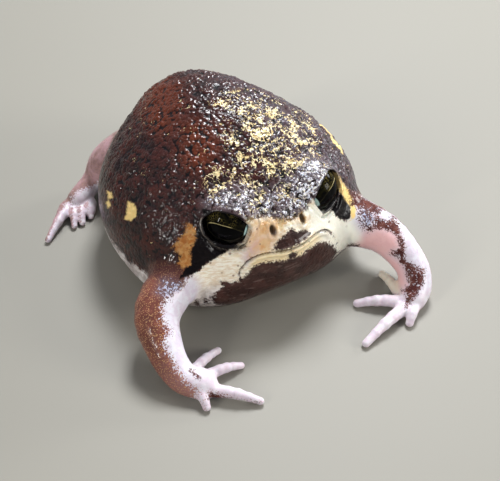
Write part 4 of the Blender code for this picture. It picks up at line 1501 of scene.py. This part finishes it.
def skin_material(torn, flecks, dots, mottle):
    """Wet, grained skin coloured by the markings stored on the mesh."""
    material, shader, graph = new_material("frog_skin", {
        "Specular IOR Level": 0.1,
        "Coat Roughness": 0.07,
        "Subsurface Weight": 0.08,
        "Subsurface Radius": (1.0, 0.35, 0.2),
        "Subsurface Scale": 0.6 * MM,
    })
    place = graph.millimetres()

    def clouds(first, second, fineness, lean=0.0, where=place):
        return graph.group(
            mottle, Place=where, First=SKIN[first], Second=SKIN[second], Fineness=fineness, Lean=lean)

    def mask(kind, depth=None):
        tear, grain, softness = EDGES[kind]
        depth = kind if depth is None else depth
        return graph.group(torn, Place=place, Depth=depth, Tear=tear, Grain=grain, Softness=softness)

    def scattered(share, fineness, clumping=0.6):
        return graph.group(flecks, Place=place, Share=share, Fineness=fineness, Clumping=clumping)

    def tint(name, colour=None):
        return graph.times(name, STRENGTHS[name]), SKIN[name] if colour is None else colour

    rust_clouds = graph.ramp(graph.noise(place, 0.45, detail=3.0), 0.38, 0.62)
    rust = graph.line("rust", RUST_STRENGTH, graph.times(rust_clouds, RUST_CLOUDS))
    back = graph.coats(
        clouds("maroon", "black_brown", fineness=0.33),
        # Plum and slate on the left side: partly the skin's own tone, partly painted sheen
        tint("left_side", clouds("plum", "slate", fineness=0.6)),
        (rust, SKIN["rust"]),
        # Near-black painted shade in the hollows between granules
        (graph.ramp("grain", *PIT_SHADE_GRAIN), SKIN["pit"]),
        tint("wart", SKIN["rust"]),
    )
    gold = graph.group(dots, Place=place, Share=0.8, Fineness=4.6)
    bare = graph.line("shoulder", GOLD_DOT_SHOULDER_LOSS, graph.line("leg", GOLD_DOT_LEG_LOSS, GOLD_DOTS))
    arm = graph.coats(
        clouds("arm_red", "arm_brown", fineness=0.45),
        tint("wrist", SKIN["arm_pink"]),
        tint("shoulder", SKIN["arm_plum"]),
        ("leg", clouds("leg_grey", "leg_pink", fineness=0.35)),
        (graph.math("MULTIPLY", gold, bare, clamp=True), SKIN["gold_dot"]),
    )

    on_trunk = graph.rest("limb")
    # Silver on the granules' tops: partly pale tubercles, partly painted glints
    raised_brow = graph.times("silver", graph.ramp("grain", *RAISED_GRAIN))
    cream_share = graph.times("fleck", graph.line("silver", CREAM_BROW_LOSS, 1.0))
    cream_share = graph.line(cream_share, CREAM_FLECKS, graph.line("left_side", *STRAY_FLECKS))
    cream = scattered(cream_share, fineness=2.1)
    blue = scattered(graph.times("blue", BLUE_FLECKS), fineness=2.2, clumping=0.3)
    silver = scattered(graph.times("silver", SILVER_AND_GLINT_FLECKS), fineness=2.7, clumping=0.35)
    belly_colour = clouds("belly_white", "belly_grey", fineness=0.6)
    colour = graph.coats(
        graph.mix("limb", back, arm),
        tint("blue", SKIN["slate"]),
        (graph.times(blue, "blue"), SKIN["silver_blue"]),
        (graph.times(cream, on_trunk), clouds("cream", "gold", fineness=0.5)),
        (graph.times(raised_brow, BROW_GREY), SKIN["brow_grey"]),
        (graph.times(silver, raised_brow), clouds("silver", "cream", fineness=1.6, lean=-0.08)),
        (mask("belly"), belly_colour),
    )

    speckle = graph.line(graph.cells(place, 4.4), *SPECKLE)
    # Pale limb skin, and the painted highlight on the left arm's tip
    pale_limb_and_highlight = mask("limb_pale", graph.math("ADD", "limb_pale", speckle))
    pale = graph.math("MAXIMUM", mask("pale"), pale_limb_and_highlight)
    fibres = graph.stretched(place, (1.0, 1.0, 3.4))
    pale_colour = graph.coats(
        clouds("cream_skin", "beige_skin", fineness=0.9, where=fibres),
        ("limb", clouds("white_skin", "pink_skin", fineness=0.9)),
        ("blush", SKIN["blush"]),
        ("lilac", SKIN["lilac"]),
        ("thumb", SKIN["thumb_cream"]),
        tint("low", belly_colour),
        # Near-white painted light over the left cheek and the left side's pale skin
        ("cheek_painted_light", SKIN["cheek_painted_light"]),
    )
    ochre_clouds = graph.ramp(graph.noise(place, 0.5, detail=3.0), 0.36, 0.58)
    freckles = graph.group(dots, Place=place, Share=0.07, Fineness=1.4)
    along_jaw = graph.noise(graph.stretched(place, (0.3, 2.2, 2.2)), 1.0, 3.0, 0.6, distortion=0.3)
    jaw_lines = graph.times(graph.ramp(along_jaw, 0.56, 0.66), THROAT_LINES)
    throat = graph.mix(jaw_lines, clouds("throat", "throat_dark", fineness=0.4), SKIN["throat_line"])
    light_flecks = scattered(0.42, fineness=3.0, clumping=0.5)
    marbling = graph.times(mask("marbling"), graph.line(light_flecks, MARBLING_LOSS, 1.0))
    yellow = mask("yellow")
    black = mask("black")
    # Near-black painted shade on the lids' inner wall, held back where the yellow stripe lies
    lid_shade = graph.times("lid_shade", graph.line(yellow, LID_SHADE_YELLOW_LOSS, 1.0))
    colour = graph.coats(
        colour,
        (pale, pale_colour),
        (mask("patch"), clouds("patch", "patch_light", fineness=1.3)),
        (graph.times(mask("ochre"), ochre_clouds), clouds("ochre", "straw", fineness=0.9)),
        tint("nose_flush"),
        tint("lip_gold"),
        (graph.times(freckles, pale, on_trunk, FRECKLES), SKIN["freckle"]),
        (yellow, SKIN["spot_yellow"]),
        (mask("dark"), throat),
        (black, SKIN["near_black"]),
        (marbling, clouds("marbling", "arm_brown", fineness=0.9)),
        # Painted shade along the mouth's groove
        tint("mouth_line", SKIN["hollow_shade"]),
        (lid_shade, SKIN["near_black"]),
        ("lid_edge", SKIN["lid"]),
        # Painted shade in the nostrils
        ("hollow_shade", SKIN["hollow_shade"]),
    )
    graph.feed(colour, shader.inputs["Base Color"])

    damp = graph.noise(place, 1.5, detail=3.0)
    rough = graph.add("ShaderNodeMapRange", damp, *MIDDLE_NOISE, *SKIN_ROUGHNESS)
    graph.feed(rough, shader.inputs["Roughness"])
    pebbles = graph.times(graph.cells(place, 3.2, feature="SMOOTH_F1"), PEBBLE_HEIGHT)
    height = graph.line(graph.noise(place, 6.0), CRUMB_HEIGHT, pebbles)
    bump = graph.tree.nodes.new("ShaderNodeBump")
    bump.inputs["Strength"].default_value = 0.8
    bump.inputs["Distance"].default_value = BUMP_DEPTH
    graph.feed(graph.times(height, graph.line("coarse", *BUMP_COARSENESS)), bump.inputs["Height"])
    graph.feed(bump.outputs[0], shader.inputs["Normal"])
    coat = graph.line("limb", COAT_LIMB_LOSS, graph.line("coarse", *COAT_COARSENESS))
    coat = graph.times(coat, graph.line(black, COAT_BLACK_LOSS, 1.0))
    graph.feed(coat, shader.inputs["Coat Weight"])
    return material


def eye_material(mottle):
    """A dark eye: a wide pupil ringed with gold under an olive iris veined with gold."""
    material, shader, graph = new_material("frog_eye", {
        "Coat Weight": 0.2,
        "Coat IOR": 1.36,
        "Coat Roughness": 0.02,
        "Specular IOR Level": 0.0,
    })
    place = graph.millimetres()
    across = "toward_snout"
    height = "above_middle"

    wide = graph.math("DIVIDE", graph.math("SUBTRACT", across, PUPIL_AHEAD), PUPIL_HALF_WIDTH)
    tall = graph.math("DIVIDE", graph.math("ADD", height, PUPIL_BELOW), PUPIL_HALF_HEIGHT)
    squares = graph.math("ADD", graph.math("POWER", wide, 2.0), graph.math("POWER", tall, 2.0))
    wave = graph.math("SUBTRACT", graph.noise(place, 1.2), 0.5)
    reach = graph.line(wave, PUPIL_WAVE, graph.math("SQRT", squares))

    lines = graph.cells(place, 2.6, feature="DISTANCE_TO_EDGE")
    lines = graph.line(graph.noise(place, 2.2, detail=3.0), VEIN_WAVE, lines)
    patches = graph.ramp(graph.noise(place, 0.8), *VEIN_PATCHES)
    veined = graph.times(patches, graph.ramp(across, *VEIN_FRONT))
    veined = graph.math("MAXIMUM", veined, graph.ramp(across, *VEIN_REAR))
    upper = graph.ramp(height, *IRIS_TOP)
    veins = graph.times(graph.rest(graph.ramp(lines, *VEIN_EDGE)), veined, upper, VEIN_STRENGTH)
    iris = graph.coats(
        graph.group(mottle, Place=place, First=EYE["olive"], Second=EYE["black"], Fineness=0.9, Lean=0.05),
        (veins, EYE["vein"]),
        (graph.rest(upper), EYE["black"]),
    )

    past_pupil = graph.ramp(reach, *PUPIL_EDGE)
    ring = graph.times(past_pupil, graph.rest(graph.ramp(reach, *RING_EDGE)))
    ring_top = graph.times(graph.ramp(height, *RING_TOP), graph.rest(graph.ramp(across, *RING_FRONT)))
    corner = graph.times(graph.ramp(across, *CORNER_FRONT), graph.ramp(height, *CORNER_HEIGHT))
    colour = graph.coats(
        EYE["black"],
        (past_pupil, iris),
        (graph.times(ring, graph.line(ring_top, *RING_STRENGTH)), EYE["ring"]),
        (graph.times(corner, CORNER_STRENGTH), EYE["corner"]),
    )
    graph.feed(colour, shader.inputs["Base Color"])
    film = graph.noise(place, 1.0)
    rough = graph.add("ShaderNodeMapRange", film, *MIDDLE_NOISE, *EYE_ROUGHNESS)
    graph.feed(rough, shader.inputs["Roughness"])
    return material


def add_eye(side, node, material):
    """A smooth eyeball in place of the model's faceted one."""
    centre, _, forward, upward = eye_axes(side)
    name = "eyeball_" + node.split("_")[1]
    mesh = bpy.data.meshes.new(name)
    shape = bmesh.new()
    bmesh.ops.create_icosphere(shape, subdivisions=EYE_DIVISIONS, radius=EYE_RADIUS)
    shape.to_mesh(mesh)
    shape.free()
    points = vertex_values(mesh.vertices, "co")
    set_attributes(mesh, {"toward_snout": points @ forward, "above_middle": points @ upward})
    place_points(mesh, points + centre)
    mesh.shade_smooth()
    mesh.materials.append(material)
    eye = add_object(name, mesh)
    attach(eye, "root")
    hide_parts(node)


def add_camera():
    data = bpy.data.cameras.new("camera")
    data.lens = CAMERA_LENS
    data.sensor_width = SENSOR
    data.clip_start, data.clip_end = CAMERA_CLIP
    place = Vector((np.array(CAMERA_PLACE) + FRAME_SHIFT) * MM)
    aim = Vector((np.array(CAMERA_AIM) + FRAME_SHIFT) * MM)
    camera = add_object("camera", data)
    camera.location = place
    camera.rotation_euler = (aim - place).to_track_quat("-Z", "Y").to_euler()
    bpy.context.scene.camera = camera


def add_light(name, place, size, power, colour):
    """A soft rectangular light that looks at the frog."""
    data = bpy.data.lights.new(name, "AREA")
    data.shape = "RECTANGLE"
    data.size, data.size_y = size
    data.energy = power
    data.color = colour
    light = add_object(name, data)
    light.location = place
    light.rotation_euler = (Vector(LIGHT_AIM) - Vector(place)).to_track_quat("-Z", "Y").to_euler()


def add_sky():
    world = bpy.data.worlds.new("sky")
    bpy.context.scene.world = world
    world.use_nodes = True
    sky = world.node_tree.nodes["Background"]
    sky.inputs["Color"].default_value = SKY_COLOUR
    sky.inputs["Strength"].default_value = SKY_STRENGTH


def add_floor():
    mesh = bpy.data.meshes.new("floor")
    mesh.from_pydata([(-1, -1, 0), (1, -1, 0), (1, 1, 0), (-1, 1, 0)], [], [(0, 1, 2, 3)])
    look = {"Base Color": FLOOR_COLOUR, "Roughness": FLOOR_ROUGHNESS}
    mesh.materials.append(new_material("pale_floor", look)[0])
    add_object("floor", mesh)


def add_skin(material):
    """The frog's skin with its relief and markings, in place of all nodes of flesh."""
    skin, points = smooth_skin()
    place_points(skin.data, points)
    shares = limb_shares(points)
    points = add_relief(skin, points, shares)
    place_points(skin.data, points)
    paint_skin(skin.data, points, shares)
    skin.data.materials.append(material)
    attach(skin, "root")
    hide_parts(*[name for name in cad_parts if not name.startswith("eye")])


# Setting, in metres and watts
FLOOR_COLOUR = linear(138, 134, 124)
FLOOR_ROUGHNESS = 0.6
LIGHT_AIM = (0.0, 0.0, 0.01)
LIGHTS = (
    ("sky_light", (0.2, 0.22, 0.42), (0.15, 0.15), 3.8, (0.93, 0.96, 1.0)),
    ("left_light", (0.42, 0.04, 0.17), (0.1, 0.1), 0.8, (0.95, 0.98, 1.0)),
    ("front_light", (0.3, -0.3, 0.16), (0.16, 0.16), 1.3, (1.0, 0.98, 0.95)),
    ("right_light", (-0.42, -0.08, 0.22), (0.025, 0.15), 0.9, (1.0, 0.98, 0.95)),
)
SKY_COLOUR = (0.82, 0.9, 1.0, 1.0)
SKY_STRENGTH = 0.31

add_camera()
torn, flecks, dots, mottle = ragged_edge_group(), fleck_group(), dot_group(), mottle_group()
add_skin(skin_material(torn, flecks, dots, mottle))
eye_look = eye_material(mottle)
for side, node in ((-1, "eye_right"), (1, "eye_left")):
    add_eye(side, node, eye_look)
add_floor()
for light in LIGHTS:
    add_light(*light)
add_sky()
bpy.context.scene.view_settings.view_transform = "Standard"
